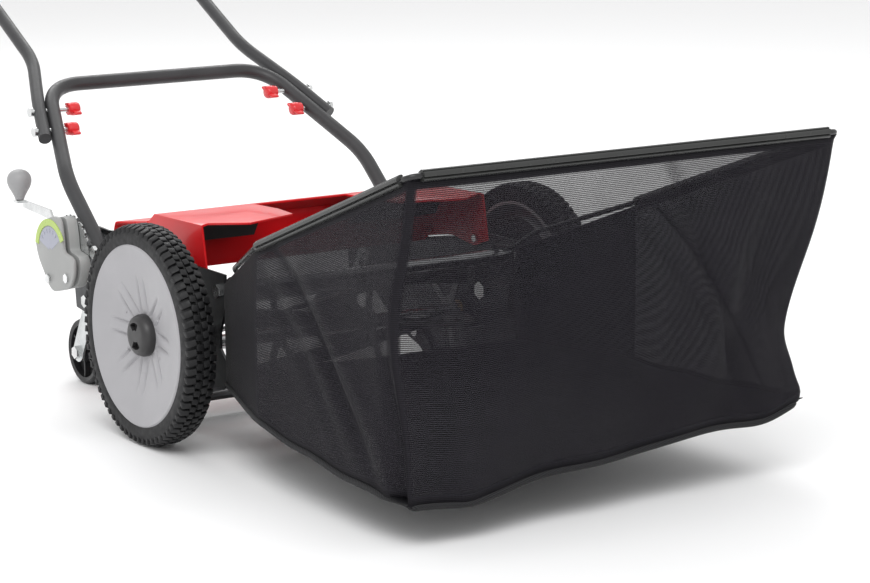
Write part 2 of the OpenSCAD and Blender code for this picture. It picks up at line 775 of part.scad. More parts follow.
module foam_grip() {
    y = upper_end[1] + upper_step[1] * top_corner;
    z = upper_end[2] + upper_step[2] * top_corner;
    half = upper_x - top_corner - 2;
    color("#222224") difference() {
        rod_x(-half, half, y, z, grip_r);
        rod_x(-half - 1, half + 1, y, z, upper_tube_r);
    }
}

module handle_bolts() {
    head_x = overlap_x + upper_tube_r + 2.2;
    color("gainsboro") both_sides() for (i = [0, 1]) {
        p = on_leg(bolt_at[i]);
        rod_x(p[0] - tube_r - nut_seat[i] - nut_len + 3, p[0] + head_x + 1, p[1], p[2], bolt_r);
        rod_x(p[0] + head_x, p[0] + head_x + 4, p[1], p[2], 6);
    }
}

module wing_nut(i) {
    p = on_leg(bolt_at[i]);
    color("#d8323a") translate([p[0] - tube_r - nut_seat[i] - nut_len, p[1], p[2]]) difference() {
        union() {
            spin_x() cylinder(h = nut_len, r1 = 8.5, r2 = 7);
            for (a = [20, 200]) rotate([a, 0, 0]) translate([1, 5, -2.5]) cube([11, 10, 5]);
        }
        spin_x(1.5) cylinder(h = nut_len, r = bolt_r + run_gap);
    }
}

module wing_nut_1() {
    right_side() wing_nut(0);
}

module wing_nut_2() {
    right_side() wing_nut(1);
}

module wing_nut_3() {
    wing_nut(0);
}

module wing_nut_4() {
    wing_nut(1);
}

module handle_pivot_bolts() {
    color("gainsboro") both_sides() {
        rod_x(plate_in - 6, leg_x + tube_r + 5, pivot_y, pivot_z, 5);
        hex_x(plate_in - 6, plate_in, pivot_y, pivot_z, 9);
        hex_x(leg_x + tube_r + 0.5, leg_x + tube_r + 5, pivot_y, pivot_z, 8);
        rod_x(plate_out, plate_out + 2.5, pivot_y, pivot_z, 11);
    }
}

// The lower handle rests on these pegs
module handle_stops() {
    rest_point = pivot_point + pivot_step * 40 + [0, pivot_step[2], -pivot_step[1]] * (tube_r + 4 + face_gap);
    color("gainsboro") both_sides() rod_x(plate_out, plate_out + 16, rest_point[1], rest_point[2], 4);
}

// ---- grass catcher ----
hook_r = tie_r + wire_r + 0.2;
hook_x = plate_in - 14;
frame_path = concat([for (a = [-130 : 20 : 90]) [hook_x, tie_y + hook_r * cos(a), tie_z + hook_r * sin(a)]],
    [[hook_x, throat_y - 12, throat_z - 14], [throat_x + 2, throat_y - 22, throat_z + 4]]);
frame_rear = [catch_rear_x, catch_rear_y, catch_rear_z];
frame_front = [catch_front_x, -catcher_reach, catcher_top];
frame_side = concat(frame_path, [frame_rear], corner(between(frame_rear, frame_front, 0.965), frame_front,
    frame_front - [12, 0, 0], 4));

module catcher_frame() {
    color("#2c2d30") swept(concat(frame_side, mirrored(frame_side)), wire_r, 0, 12, [1, 0.8, 0.9]);
}

// A plastic profile that grips the wire and the cloth
module clip(p, q) {
    difference() {
        bar(p, q, clip_r);
        bar(p - (q - p) * 0.1, q + (q - p) * 0.1, wire_r);
    }
}

function between(p, q, t) = p + (q - p) * t;

module frame_clips() {
    color("#353638") {
        clip(frame_front - [2 * catch_front_x - 14, 0, 0], frame_front - [14, 0, 0]);
        both_sides() clip(between(frame_rear, frame_front, 0.02), between(frame_rear, frame_front, 0.955));
    }
}

front_drop = catcher_top - clip_r - 0.5 - catcher_floor_front;
side_turn = atan((catch_front_x - catch_rear_x) / (catcher_reach + catch_rear_y));
side_len = norm([catch_front_x - catch_rear_x, catcher_reach + catch_rear_y]);
throat_turn = atan((catch_rear_x - throat_x) / (throat_y - catch_rear_y));
throat_len = norm([catch_rear_x - throat_x, throat_y - catch_rear_y]);

module bag_front() {
    half = catch_front_x - 3;
    color("#1c1c1f", 0.7) translate([0, -catcher_reach, catcher_top - clip_r - 0.5])
        rotate([90 + atan(catch_lean / front_drop), 0, 0]) translate([0, 0, -panel_t / 2])
            linear_extrude(panel_t) polygon([[-half, 0], [half, 0], [half - 3, -front_drop], [-half + 3, -front_drop]]);
}

// The side panel is drawn flat, from its rear edge forward
module bag_side() {
    drop = clip_r + 1.5;
    color("#1c1c1f", 0.7) translate([catch_rear_x, catch_rear_y, 0]) rotate([0, 0, side_turn])
        plate_x([[0, catch_rear_z - drop], [-side_len + 4, catcher_top - drop - 3],
            [-side_len + catch_lean + 4, catcher_floor_front + 3], [0, catcher_floor_rear + 3]], -panel_t / 2, panel_t);
}

module bag_side_left() {
    bag_side();
}

module bag_side_right() {
    right_side() bag_side();
}

module bag_throats() {
    color("#1c1c1f", 0.8) both_sides() translate([catch_rear_x, catch_rear_y, 0])
        rotate([0, 0, throat_turn]) plate_x([[4, catch_rear_z - 8], [throat_len - 26, throat_z - 8],
            [throat_len, throat_z - 30], [throat_len, catcher_floor_rear + 3], [4, catcher_floor_rear + 3]],
            -panel_t / 2, panel_t);
}

floor_slope = atan((catcher_floor_rear - catcher_floor_front) / (catcher_reach + throat_y));

module bag_floor() {
    reach = (catcher_reach + throat_y) / cos(floor_slope);
    wide = (catcher_reach + catch_rear_y) / cos(floor_slope);
    color("#1a1a1c") translate([0, throat_y, catcher_floor_rear]) rotate([floor_slope, 0, 0])
        linear_extrude(panel_t) polygon([[-throat_x + 2, 0], [throat_x - 2, 0],
            [catch_rear_x - 2, wide - reach], [catch_front_x - 6, catch_lean + 3 - reach],
            [-catch_front_x + 6, catch_lean + 3 - reach], [-catch_rear_x + 2, wide - reach]]);
}

function floor_z(y) = catcher_floor_rear - (throat_y - y) * tan(floor_slope);

module bag_piping() {
    lift = piping_r + 0.4;
    edge = [[throat_x, throat_y], [catch_rear_x, catch_rear_y], [catch_front_x - 2, -catcher_reach + catch_lean]];
    path = [for (p = edge) [p[0], p[1], floor_z(p[1]) - lift]];
    color("#3a3a3e") swept(concat(path, mirrored(path)), piping_r, 0, 12, [0, 0, 1]);
}

side_plate_right();
side_plate_left();
front_tie_rod();
rear_tie_rod();
tie_rod_bolts();
axle_bolts();
reel_bearings();
dust_covers();
deflector_cover();
rear_apron();
cover_screws();
knife_pivot_bolts();
handle_pivot_bolts();
handle_stops();
guide_bolts();
height_housing();
housing_trim();
quadrant_plate();
housing_bolts();
tyre_right();
wheel_disc_right();
ring_gear_right();
hub_cap_right();
tyre_left();
wheel_disc_left();
ring_gear_left();
hub_cap_left();
reel_shaft();
reel_spiders();
reel_blades();
pinions();
drive_pawls();
knife_bar();
bed_knife();
knife_screws();
rear_straps();
rear_cross_tube();
rear_axle_bolts();
rear_wheel_right();
rear_wheel_left();
height_shaft();
height_lever();
lever_knob();
lower_handle();
upper_handle();
foam_grip();
handle_bolts();
wing_nut_1();
wing_nut_2();
wing_nut_3();
wing_nut_4();
catcher_frame();
frame_clips();
bag_front();
bag_side_right();
bag_side_left();
bag_throats();
bag_floor();
bag_piping();
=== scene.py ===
"""Looks of the reel mower: soft goods, rounded shells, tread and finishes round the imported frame."""
import math
import bmesh
import bpy
from bpy.props import FloatProperty, FloatVectorProperty, IntProperty, PointerProperty
from mathutils import Matrix, Vector, noise


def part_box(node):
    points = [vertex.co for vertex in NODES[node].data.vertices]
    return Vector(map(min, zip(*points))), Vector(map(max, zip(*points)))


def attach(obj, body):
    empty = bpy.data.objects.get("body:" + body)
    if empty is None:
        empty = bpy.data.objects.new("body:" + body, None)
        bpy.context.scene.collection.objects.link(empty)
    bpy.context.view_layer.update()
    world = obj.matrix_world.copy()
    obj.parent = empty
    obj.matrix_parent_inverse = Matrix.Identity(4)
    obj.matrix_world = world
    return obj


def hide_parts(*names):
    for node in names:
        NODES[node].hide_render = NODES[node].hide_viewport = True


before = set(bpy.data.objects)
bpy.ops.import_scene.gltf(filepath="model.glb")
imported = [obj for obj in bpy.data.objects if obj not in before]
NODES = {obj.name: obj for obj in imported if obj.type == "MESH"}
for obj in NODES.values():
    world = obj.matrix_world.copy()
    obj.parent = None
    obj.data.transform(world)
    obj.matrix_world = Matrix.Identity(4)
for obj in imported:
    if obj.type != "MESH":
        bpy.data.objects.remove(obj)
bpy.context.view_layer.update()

bl_info = {
    "name": "Reel Mower Looks",
    "version": (1, 0, 0),
    "blender": (4, 5, 0),
    "location": "View3D > Sidebar > Mower",
    "description": "Builds the cloth, shells, tyres and finishes of a hand-pushed reel mower",
    "category": "Object",
}

MM = 0.001
TAU = math.tau


# ---- measures taken from the frame ----
def low(node):
    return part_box(node)[0]


def high(node):
    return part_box(node)[1]


def radius_of(node):
    return (high(node).z - low(node).z) / 2


def middle_of(node):
    return (low(node) + high(node)) / 2


WHEEL_R = radius_of("tyre_left")
WHEEL_IN = low("tyre_left").x
WHEEL_OUT = high("tyre_left").x
DISC_R = radius_of("wheel_disc_left")
WHEEL_CENTRE = Vector((0, 0, WHEEL_R))
GEAR_IN = low("ring_gear_left").x
RING_R = radius_of("ring_gear_left")
HUB_R = radius_of("hub_cap_left")
DISH = WHEEL_OUT - low("hub_cap_left").x
PLATE_OUT = high("side_plate_left").x
COVER_HALF = high("deflector_cover").x
REAR_WHEEL_R = radius_of("rear_wheel_left")
REAR_CENTRE = middle_of("rear_wheel_left")
SIDES = (("right", -1), ("left", 1))


def mm(x, y, z):
    return Vector((x, y, z)) * MM


def in_metres(points):
    return [(a * MM, b * MM) for a, b in points]


# ---- sizes and colours that a user may change ----
def colour(name, description, default):
    return FloatVectorProperty(
        name=name, description=description, subtype="COLOR", size=3, min=0, max=1, default=default
    )


def length(name, description, default):
    return FloatProperty(
        name=name, description=description, subtype="DISTANCE", unit="LENGTH", min=0, default=default
    )


class MowerFinishes(bpy.types.PropertyGroup):
    """Colours of the mower's finishes"""

    red: colour("Covers", "Gloss red of the covers", (0.7, 0.004, 0.008))
    knob_red: colour("Wing knobs", "Red of the wing knobs", (0.66, 0.02, 0.025))
    disc_grey: colour("Wheel discs", "Light grey of the wheel discs", (0.36, 0.355, 0.37))
    housing_grey: colour("Housing", "Light grey of the height housing", (0.34, 0.345, 0.34))
    lime: colour("Lime inlay", "Lime of the housing's inlay", (0.44, 0.58, 0.15))
    cloth: colour("Cloth", "Black of the catcher's mesh", (0.0165, 0.0152, 0.0192))
    tube: colour("Handle tube", "Dark grey of the handle's powder coat", (0.032, 0.032, 0.034))


class MowerWheels(bpy.types.PropertyGroup):
    """Sizes of the tyres and discs"""

    lugs: IntProperty(name="Lugs", description="Tread lugs in one row of a tyre", default=72, min=24, max=120)
    lug_height: length("Lug height", "Height of a tread lug", 4.6 * MM)
    crease_depth: length("Crease depth", "Depth of the creases in a wheel disc", 2.9 * MM)
    crease_groups: IntProperty(name="Crease pairs", description="Pairs of creases in a disc",
                               default=8, min=0, max=16)


class MowerCloth(bpy.types.PropertyGroup):
    """Sizes of the catcher's cloth"""

    thickness: length("Cloth thickness", "Thickness of the mesh cloth", 0.9 * MM)
    belly: length("Belly", "How far the panels swell outwards", 8 * MM)
    fold: length("Fold depth", "Depth of the slack folds", 10 * MM)
    piping: length("Piping radius", "Radius of the binding round the floor", 3.4 * MM)
    cover: FloatProperty(name="Cover", description="Share of the light that one face of the mesh stops",
                         subtype="FACTOR", min=0, max=1, default=0.6)
    weave: length("Weave pitch", "Distance from thread to thread", 1.9 * MM)


class MowerStage(bpy.types.PropertyGroup):
    """The floor, lights and camera"""

    azimuth: FloatProperty(name="Azimuth", description="Turn of the camera round the mower",
                           subtype="ANGLE", default=math.radians(-33.81))
    pitch: FloatProperty(name="Pitch", description="Downward tilt of the camera",
                         subtype="ANGLE", default=math.radians(11.41))
    lens: FloatProperty(name="Lens", description="Focal length", subtype="DISTANCE_CAMERA", default=124.29)
    eye: FloatVectorProperty(name="Eye", description="Place of the camera", subtype="TRANSLATION",
                             default=(-1.8223, -2.9086, 0.8373))
    key_power: FloatProperty(name="Key light", description="Power of the main soft box",
                             subtype="POWER", default=48.0)
    sky: FloatProperty(name="Sky", description="Strength of the white surroundings", default=0.9, min=0)


def settings():
    return bpy.context.scene.mower


class MowerSettings(bpy.types.PropertyGroup):
    """All the settings of the mower"""

    finishes: PointerProperty(type=MowerFinishes)
    wheels: PointerProperty(type=MowerWheels)
    cloth: PointerProperty(type=MowerCloth)
    stage: PointerProperty(type=MowerStage)


# ---- procedural finishes ----
def shade(base, factor):
    return tuple(min(1.0, c * factor) for c in base)


class Finish:
    """One material: textures feed the sockets of one Principled shader."""

    made = {}

    def __init__(self, name, base=(0.5, 0.5, 0.5), roughness=0.5, metallic=0.0, source="Object", **sockets):
        self.material = bpy.data.materials.new(name)
        self.material.use_nodes = True
        self.tree = self.material.node_tree
        self.shader = self.tree.nodes["Principled BSDF"]
        self.place = self.add("ShaderNodeTexCoord").outputs[source]
        self.normal = None
        self.set("Base Color", (*base, 1))
        self.set("Roughness", roughness)
        self.set("Metallic", metallic)
        for name_of_socket, value in sockets.items():
            self.set(name_of_socket.replace("_", " "), value)

    def set(self, socket, value):
        self.shader.inputs[socket].default_value = value

    def add(self, kind, inputs=None, **values):
        node = self.tree.nodes.new(kind)
        for key, value in values.items():
            setattr(node, key, value)
        for key, value in (inputs or {}).items():
            if isinstance(value, bpy.types.NodeSocket):
                self.tree.links.new(value, node.inputs[key])
            else:
                node.inputs[key].default_value = value
        return node

    def feed(self, socket, output):
        self.tree.links.new(output, self.shader.inputs[socket])

    def stretched(self, scale):
        return self.add("ShaderNodeMapping", {"Vector": self.place, "Scale": scale}).outputs["Vector"]

    def noise(self, scale, detail=3.0, place=None):
        inputs = {"Vector": place or self.place, "Scale": scale, "Detail": detail}
        return self.add("ShaderNodeTexNoise", inputs).outputs["Fac"]

    def pores(self, scale):
        return self.add("ShaderNodeTexVoronoi", {"Vector": self.place, "Scale": scale}).outputs["Distance"]

    def bands(self, pitch, direction):
        made = self.add("ShaderNodeTexWave", {"Vector": self.place, "Scale": TAU / (20 * pitch)},
                        bands_direction=direction)
        return made.outputs["Fac"]

    def ramp(self, factor, stops):
        made = self.add("ShaderNodeValToRGB", {"Fac": factor})
        keys = made.color_ramp.elements
        for i, (at, shade) in enumerate(stops):
            key = keys[i] if i < len(keys) else keys.new(at)
            key.position = at
            key.color = (*shade, 1)
        return made.outputs["Color"]

    def spread(self, factor, low_value, high_value, start=0.0, end=1.0):
        made = self.add("ShaderNodeMapRange", {"Value": factor, "From Min": start, "From Max": end,
                                               "To Min": low_value, "To Max": high_value})
        return made.outputs["Result"]

    def math(self, operation, a, b):
        return self.add("ShaderNodeMath", {0: a, 1: b}, operation=operation).outputs["Value"]

    def mix(self, factor, dark, light):
        made = self.add("ShaderNodeMix", {"Factor": factor, "A": dark, "B": light}, data_type="RGBA")
        return made.outputs[2]

    def bump(self, height, depth, strength=1.0):
        inputs = {"Height": height, "Distance": depth, "Strength": strength}
        if self.normal:
            inputs["Normal"] = self.normal
        self.normal = self.add("ShaderNodeBump", inputs).outputs["Normal"]
        self.feed("Normal", self.normal)

    def clouded(self, base, texture, dark, bright):
        """Base colour that drifts between a darker and a brighter shade."""
        self.feed("Base Color", self.ramp(texture, [(0.3, shade(base, dark)), (0.7, shade(base, bright))]))

    def two_tone(self, texture, dark, bright):
        """Base colour that runs from a dark stop to a bright one."""
        self.feed("Base Color", self.ramp(texture, [dark, bright]))

    def worn(self, texture, glossy, dull, start=0.3):
        """Roughness that wanders between a glossy and a dull value."""
        self.feed("Roughness", self.spread(texture, glossy, dull, start=start, end=0.7))


def zinc(name, base=(0.62, 0.64, 0.64), rough=(0.24, 0.42)):
    """Zinc-plated sheet: soft clouds with a cool cast over fine drawing lines."""
    it = Finish(name, metallic=1.0)
    cloud = it.noise(34, 5)
    it.feed("Base Color", it.ramp(cloud, [(0.3, shade(base, 0.78)), (0.55, base), (0.75, shade(base, 1.25))]))
    it.worn(it.noise(90, 4), *rough)
    it.bump(it.noise(700, 2, it.stretched((1, 0.12, 1))), 0.00012, 0.5)
    it.bump(it.noise(60, 3), 0.0004, 0.25)
    return it.material


def turned_steel(name, base=(0.56, 0.57, 0.58), rough=(0.18, 0.34)):
    """Turned bar: fine rings along X and a little dull bloom."""
    it = Finish(name, metallic=1.0)
    it.clouded(base, it.noise(50, 4), 0.8, 1.15)
    it.worn(it.noise(120, 3), *rough)
    it.bump(it.noise(1400, 2, it.stretched((1, 0.02, 0.02))), 0.00005, 0.5)
    return it.material


def ground_blade(name):
    """Hardened blade: dark scale with brighter ground streaks."""
    it = Finish(name, metallic=1.0)
    streak = it.noise(160, 4, it.stretched((0.1, 1, 1)))
    it.feed("Base Color", it.ramp(streak, [(0.35, (0.09, 0.09, 0.095)), (0.6, (0.2, 0.2, 0.205)),
                                           (0.78, (0.45, 0.45, 0.45))]))
    it.worn(it.noise(45, 3), 0.26, 0.5)
    it.bump(streak, 0.00008, 0.6)
    return it.material


def cast_metal(name, base, rough=0.5):
    """Sintered or cast metal with a sandy skin."""
    it = Finish(name, metallic=0.9, roughness=rough)
    it.clouded(base, it.noise(70, 5), 0.7, 1.2)
    it.bump(it.noise(1100, 2), 0.00015, 0.6)
    return it.material


def moulded(name, base, rough=0.42, grain=0.5, cloudy=0.06):
    """Moulded plastic: fine spark-eroded grain and very slight flow clouds."""
    it = Finish(name, Specular_IOR_Level=0.42)
    it.clouded(base, it.noise(18, 3), 1 - cloudy, 1 + cloudy)
    it.worn(it.noise(60, 3), rough - 0.05, rough + 0.06)
    it.bump(it.noise(1500, 2), 0.00008, grain)
    return it.material


def gloss_red(name, base):
    """Gloss red moulding: clear skin, faint sink waves and fine dust marks."""
    it = Finish(name, Coat_Weight=0.3, Coat_Roughness=0.08, Specular_IOR_Level=0.45)
    it.clouded(base, it.noise(14, 3), 0.93, 1.06)
    it.worn(it.noise(40, 3), 0.3, 0.36, start=0.35)
    it.bump(it.noise(7, 2), 0.0008, 0.15)
    return it.material


def powder_coat(name, base):
    """Powder-coated tube: orange-peel skin with a soft shine."""
    it = Finish(name, Specular_IOR_Level=0.5)
    it.clouded(base, it.noise(40, 4), 0.88, 1.14)
    it.worn(it.noise(110, 3), 0.34, 0.48)
    it.bump(it.noise(620, 2), 0.00014, 0.8)
    return it.material


def tyre_rubber(name):
    """Rubber with a dusty bloom, moulding haze and fine vent lines."""
    it = Finish(name, Specular_IOR_Level=0.28)
    bloom = it.noise(55, 5)
    it.feed("Base Color", it.ramp(bloom, [(0.3, (0.011, 0.011, 0.012)), (0.6, (0.017, 0.017, 0.018)),
                                          (0.8, (0.029, 0.029, 0.03))]))
    it.worn(it.noise(140, 3), 0.42, 0.66)
    it.bump(it.noise(800, 3), 0.00018, 0.7)
    return it.material


def foam(name):
    """Closed-cell foam: tiny round pores."""
    it = Finish(name, Specular_IOR_Level=0.25, roughness=0.86, Sheen_Weight=0.25, Sheen_Roughness=0.5)
    pores = it.pores(850)
    it.two_tone(pores, (0.05, (0.008, 0.008, 0.008)), (0.4, (0.022, 0.022, 0.023)))
    it.bump(pores, 0.0003, 0.9)
    it.bump(it.noise(70, 3), 0.0005, 0.3)
    return it.material


def mesh_cloth(name, cloth, base):
    """Woven mesh with holes between its threads; attributes mark the hems and the closer side weave. The mask
    of the hems also runs along the slack folds, where it closes the mesh a little and paints shade as a
    darker colour.
    """
    it = Finish(name, source="UV", Specular_IOR_Level=0.09, roughness=0.55,
                Sheen_Weight=0.02, Sheen_Roughness=0.3)
    hem_and_fold_shade = it.add("ShaderNodeAttribute", attribute_name="hem_and_fold_shade").outputs["Fac"]
    close = it.add("ShaderNodeAttribute", attribute_name="close").outputs["Fac"]
    weft = it.bands(cloth.weave, "Y")
    warp = it.bands(cloth.weave * 0.8, "X")
    slack = it.noise(9, 3)
    holes = it.math("MULTIPLY", weft, it.spread(warp, 0.55, 1.0))
    thread_gain, hole_loss, close_gain = 0.17, 0.46, 0.26
    stop = it.math("SUBTRACT", cloth.cover + thread_gain, it.math("MULTIPLY", holes, hole_loss))
    stop = it.math("ADD", stop, it.spread(slack, -0.03, 0.05, 0.3, 0.7))
    stop = it.math("ADD", stop, it.math("MULTIPLY", close, close_gain))
    closed = it.add("ShaderNodeMath", {0: stop, 1: hem_and_fold_shade}, operation="ADD", use_clamp=True)
    it.feed("Alpha", closed.outputs["Value"])
    threads = it.ramp(weft, [(0.2, shade(base, 0.45)), (0.8, shade(base, 1.9))])
    side = it.ramp(it.math("MULTIPLY", weft, warp), [(0.15, shade(base, 0.8)), (0.75, shade(base, 2.0))])
    # painted shade: this dark tone of the hems is also mixed in along the slack folds, standing in for the
    # shade in them
    hem_and_fold_shade_colour = it.ramp(warp, [(0.3, shade(base, 0.4)), (0.8, shade(base, 0.8))])
    it.feed("Base Color", it.mix(hem_and_fold_shade, it.mix(close, threads, side), hem_and_fold_shade_colour))
    it.bump(it.math("ADD", weft, it.math("MULTIPLY", warp, 0.6)), 0.0004, 0.7)
    it.bump(it.noise(30, 3), 0.0012, 0.35)
    return it.material


def coated_cloth(name):
    """Close coated cloth of the catcher's floor and throat."""
    it = Finish(name, source="UV", Specular_IOR_Level=0.1, roughness=0.6)
    weft = it.bands(1.1 * MM, "Y")
    warp = it.bands(1.1 * MM, "X")
    it.two_tone(it.noise(22, 4), (0.3, (0.005, 0.005, 0.006)), (0.7, (0.009, 0.009, 0.011)))
    it.bump(it.math("MULTIPLY", weft, warp), 0.0003, 0.7)
    it.bump(it.noise(38, 3), 0.0016, 0.4)
    return it.material


def binding(name):
    """Folded twill tape."""
    it = Finish(name, source="UV", Specular_IOR_Level=0.15, roughness=0.7,
                Sheen_Weight=0.08, Sheen_Roughness=0.4)
    twill = it.bands(1.5 * MM, "DIAGONAL")
    it.two_tone(twill, (0.2, (0.008, 0.008, 0.009)), (0.8, (0.034, 0.034, 0.036)))
    it.bump(twill, 0.0004, 0.9)
    it.bump(it.noise(120, 3), 0.0006, 0.4)
    return it.material


def recipe(name):
    """The maker of a named material and what it is called with after the name."""
    tints = settings().finishes
    return {
        "zinc_sheet": (zinc,),
        "dark_zinc": (zinc, (0.085, 0.087, 0.09), (0.3, 0.46)),
        "bright_zinc": (zinc, (0.72, 0.73, 0.73), (0.16, 0.3)),
        "turned_steel": (turned_steel,),
        "ground_blade": (ground_blade,),
        "bronze": (cast_metal, (0.5, 0.36, 0.17), 0.4),
        "cast_gear": (cast_metal, (0.26, 0.265, 0.27), 0.5),
        "knife_paint": (moulded, (0.02, 0.02, 0.021), 0.35, 0.6),
        "disc_plastic": (moulded, tuple(tints.disc_grey), 0.38, 0.35, 0.04),
        "housing_plastic": (moulded, tuple(tints.housing_grey), 0.4, 0.4, 0.05),
        "panel_plastic": (moulded, (0.36, 0.37, 0.44), 0.3, 0.3, 0.05),
        "lime_plastic": (moulded, tuple(tints.lime), 0.3, 0.3, 0.08),
        "knob_plastic": (moulded, (0.31, 0.31, 0.315), 0.4, 0.5),
        "black_plastic": (moulded, (0.016, 0.016, 0.017), 0.4, 0.5, 0.12),
        "hub_plastic": (moulded, (0.034, 0.033, 0.034), 0.4, 0.5, 0.1),
        "clip_plastic": (moulded, (0.03, 0.031, 0.03), 0.24, 0.4, 0.1),
        "wire_paint": (moulded, (0.02, 0.02, 0.021), 0.24, 0.5, 0.1),
        "red_gloss": (gloss_red, tuple(tints.red)),
        "knob_red": (gloss_red, tuple(tints.knob_red)),
        "handle_coat": (powder_coat, tuple(tints.tube)),
        "tyre_rubber": (tyre_rubber,),
        "foam": (foam,),
        "mesh_cloth": (mesh_cloth, settings().cloth, tuple(tints.cloth)),
        "coated_cloth": (coated_cloth,),
        "binding": (binding,),
    }[name]


def finish(name):
    """The named material, made on first use."""
    if name not in Finish.made:
        maker, *values = recipe(name)
        Finish.made[name] = maker(name, *values)
    return Finish.made[name]


def dress(name, *nodes):
    """Gives CAD nodes a finish."""
    for node in nodes:
        slots = NODES[node].data.materials
        slots.clear()
        slots.append(finish(name))


# ---- shapes ----
def rounded(points, radius, steps=4, closed=False):
    """The points with each corner rounded off."""
    points = [Vector(p) for p in points]
    last = len(points) - 1
    out = []
    for i, p in enumerate(points):
        if not closed and i in (0, last):
            out.append(p)
            continue
        back, ahead = points[i - 1] - p, points[(i + 1) % (last + 1)] - p
        reach = radius[i] if isinstance(radius, (list, tuple)) else radius
        start = p + back.normalized() * min(reach, back.length * 0.48)
        end = p + ahead.normalized() * min(reach, ahead.length * 0.48)
        for k in range(steps + 1):
            t = k / steps
            out.append(start * (1 - t) ** 2 + p * (2 * t * (1 - t)) + end * t * t)
    return out


def even(path, step):
    """Points along the path with no gap longer than step."""
    out = [path[0]]
    for a, b in zip(path, path[1:]):
        parts = max(1, math.ceil((b - a).length / step))
        out += [a.lerp(b, k / parts) for k in range(1, parts + 1)]
    return out


def hump(distance, width):
    """A smooth bump: 1 at no distance, fading to nothing over a few widths."""
    return math.exp(-((distance / width) ** 2))


def run_lengths(path):
    """The distance along the path at each of its points."""
    runs = [0.0]
    for a, b in zip(path, path[1:]):
        runs.append(runs[-1] + (b - a).length)
    return runs


def chain(bm, points, closed=True):
    """New vertices at the points, joined by edges."""
    verts = [bm.verts.new(p) for p in points]
    pairs = zip(verts, verts[1:] + verts[:1]) if closed else zip(verts, verts[1:])
    return verts, [bm.edges.new(pair) for pair in pairs]


def new_verts(made):
    return [g for g in made["geom"] if isinstance(g, bmesh.types.BMVert)]


def pulled(bm, edges):
    """Extrudes a chain of edges: the new vertices, and the edges between them."""
    made = bmesh.ops.extrude_edge_only(bm, edges=edges)
    verts = new_verts(made)
    here = set(verts)
    return verts, [g for g in made["geom"] if isinstance(g, bmesh.types.BMEdge) and set(g.verts) <= here]


def frames_along(path, up):
    """One matrix a point: X across, Y up, Z along the path."""
    up = Vector(up)
    last = len(path) - 1
    out = []
    for i, p in enumerate(path):
        along = (path[min(i + 1, last)] - path[max(i - 1, 0)]).normalized()
        across = along.cross(up).normalized()
        top = across.cross(along)
        out.append(Matrix((
            (across.x, top.x, along.x, p.x), (across.y, top.y, along.y, p.y),
            (across.z, top.z, along.z, p.z), (0, 0, 0, 1))))
    return out


def sweep(bm, path, section, up=(0, 0, 1)):
    """Carries a closed section along a path and closes both ends."""
    spots = frames_along(path, up)
    _, edges = chain(bm, [spots[0] @ Vector((x, y, 0)) for x, y in section])
    bmesh.ops.edgeloop_fill(bm, edges=edges)
    for before, here in zip(spots, spots[1:]):
        verts, edges = pulled(bm, edges)
        bmesh.ops.transform(bm, matrix=here @ before.inverted(), verts=verts)
    bmesh.ops.edgeloop_fill(bm, edges=edges)


def circle(radius, sides=20):
    return [(radius * math.cos(TAU * k / sides), radius * math.sin(TAU * k / sides)) for k in range(sides)]


def lathe(bm, profile, centre, steps=96, axis=(1, 0, 0), start=(0, 0, 1), closed=False):
    """Spins (radius, distance along the axis) points round an axis."""
    axis, start = Vector(axis), Vector(start)
    verts, edges = chain(bm, [centre + start * r + axis * d for r, d in profile], closed)
    bmesh.ops.spin(bm, geom=verts + edges, cent=centre, axis=axis, angle=TAU, steps=steps, use_merge=True)


def slab(bm, outline, x0, x1, bevel=0.0, segments=3):
    """A plate across X from an outline of (y, z) points, with rounded rims."""
    verts = [bm.verts.new((x0, y, z)) for y, z in outline]
    face = bm.faces.new(verts)
    top = new_verts(bmesh.ops.extrude_face_region(bm, geom=[face]))
    bmesh.ops.translate(bm, vec=(x1 - x0, 0, 0), verts=top)
    if bevel:
        rims = [e for e in bm.edges if all(v in top for v in e.verts) or all(v in verts for v in e.verts)]
        bmesh.ops.bevel(bm, geom=rims, offset=bevel, segments=segments, profile=0.5,
                        affect="EDGES", material=-1)


def block(bm, size, matrix, bevel=0.0, segments=2):
    """A bevelled block of that size, placed by a matrix."""
    made = bmesh.ops.create_cube(bm, size=1)["verts"]
    bmesh.ops.scale(bm, vec=size, verts=made)
    if bevel:
        edges = list({e for v in made for e in v.link_edges})
        made = bmesh.ops.bevel(bm, geom=edges, offset=bevel, segments=segments, profile=0.5,
                               affect="EDGES", material=-1)["verts"]
    bmesh.ops.transform(bm, matrix=matrix, verts=made)
    return made


def flip_to_right(bm, side):
    if side < 0:
        bmesh.ops.scale(bm, vec=(-1, 1, 1), verts=bm.verts)


def weld(bm, reach=1e-6):
    bmesh.ops.remove_doubles(bm, verts=bm.verts, dist=reach)


def lay_uv(bm, flat):
    """Gives each vertex's flat place to the UV map."""
    uv = bm.loops.layers.uv.new("UVMap")
    for f in bm.faces:
        for loop in f.loops:
            loop[uv].uv = flat[loop.vert]


def to_scene(name, data):
    made = bpy.data.objects.new(name, data)
    bpy.context.scene.collection.objects.link(made)
    return made


def mesh_object(bm, name, material):
    """Turns a bmesh into a smooth object and frees it."""
    bmesh.ops.recalc_face_normals(bm, faces=bm.faces)
    mesh = bpy.data.meshes.new(name)
    bm.to_mesh(mesh)
    bm.free()
    mesh.materials.append(material)
    mesh.shade_smooth()
    return to_scene(name, mesh)


def piece(bm, name, body, material, stands_for=(), sharp=38, reach=1e-6):
    """Turns a bmesh into a named object that rides on a body."""
    weld(bm, reach)
    made = mesh_object(bm, name, finish(material))
    made.data.set_sharp_from_angle(angle=math.radians(sharp))
    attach(made, body)
    if stands_for:
        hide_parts(*stands_for)
    return made


# ---- wheels ----
RIM_R = DISC_R - 4 * MM
CREASE_REACH = 55 * MM


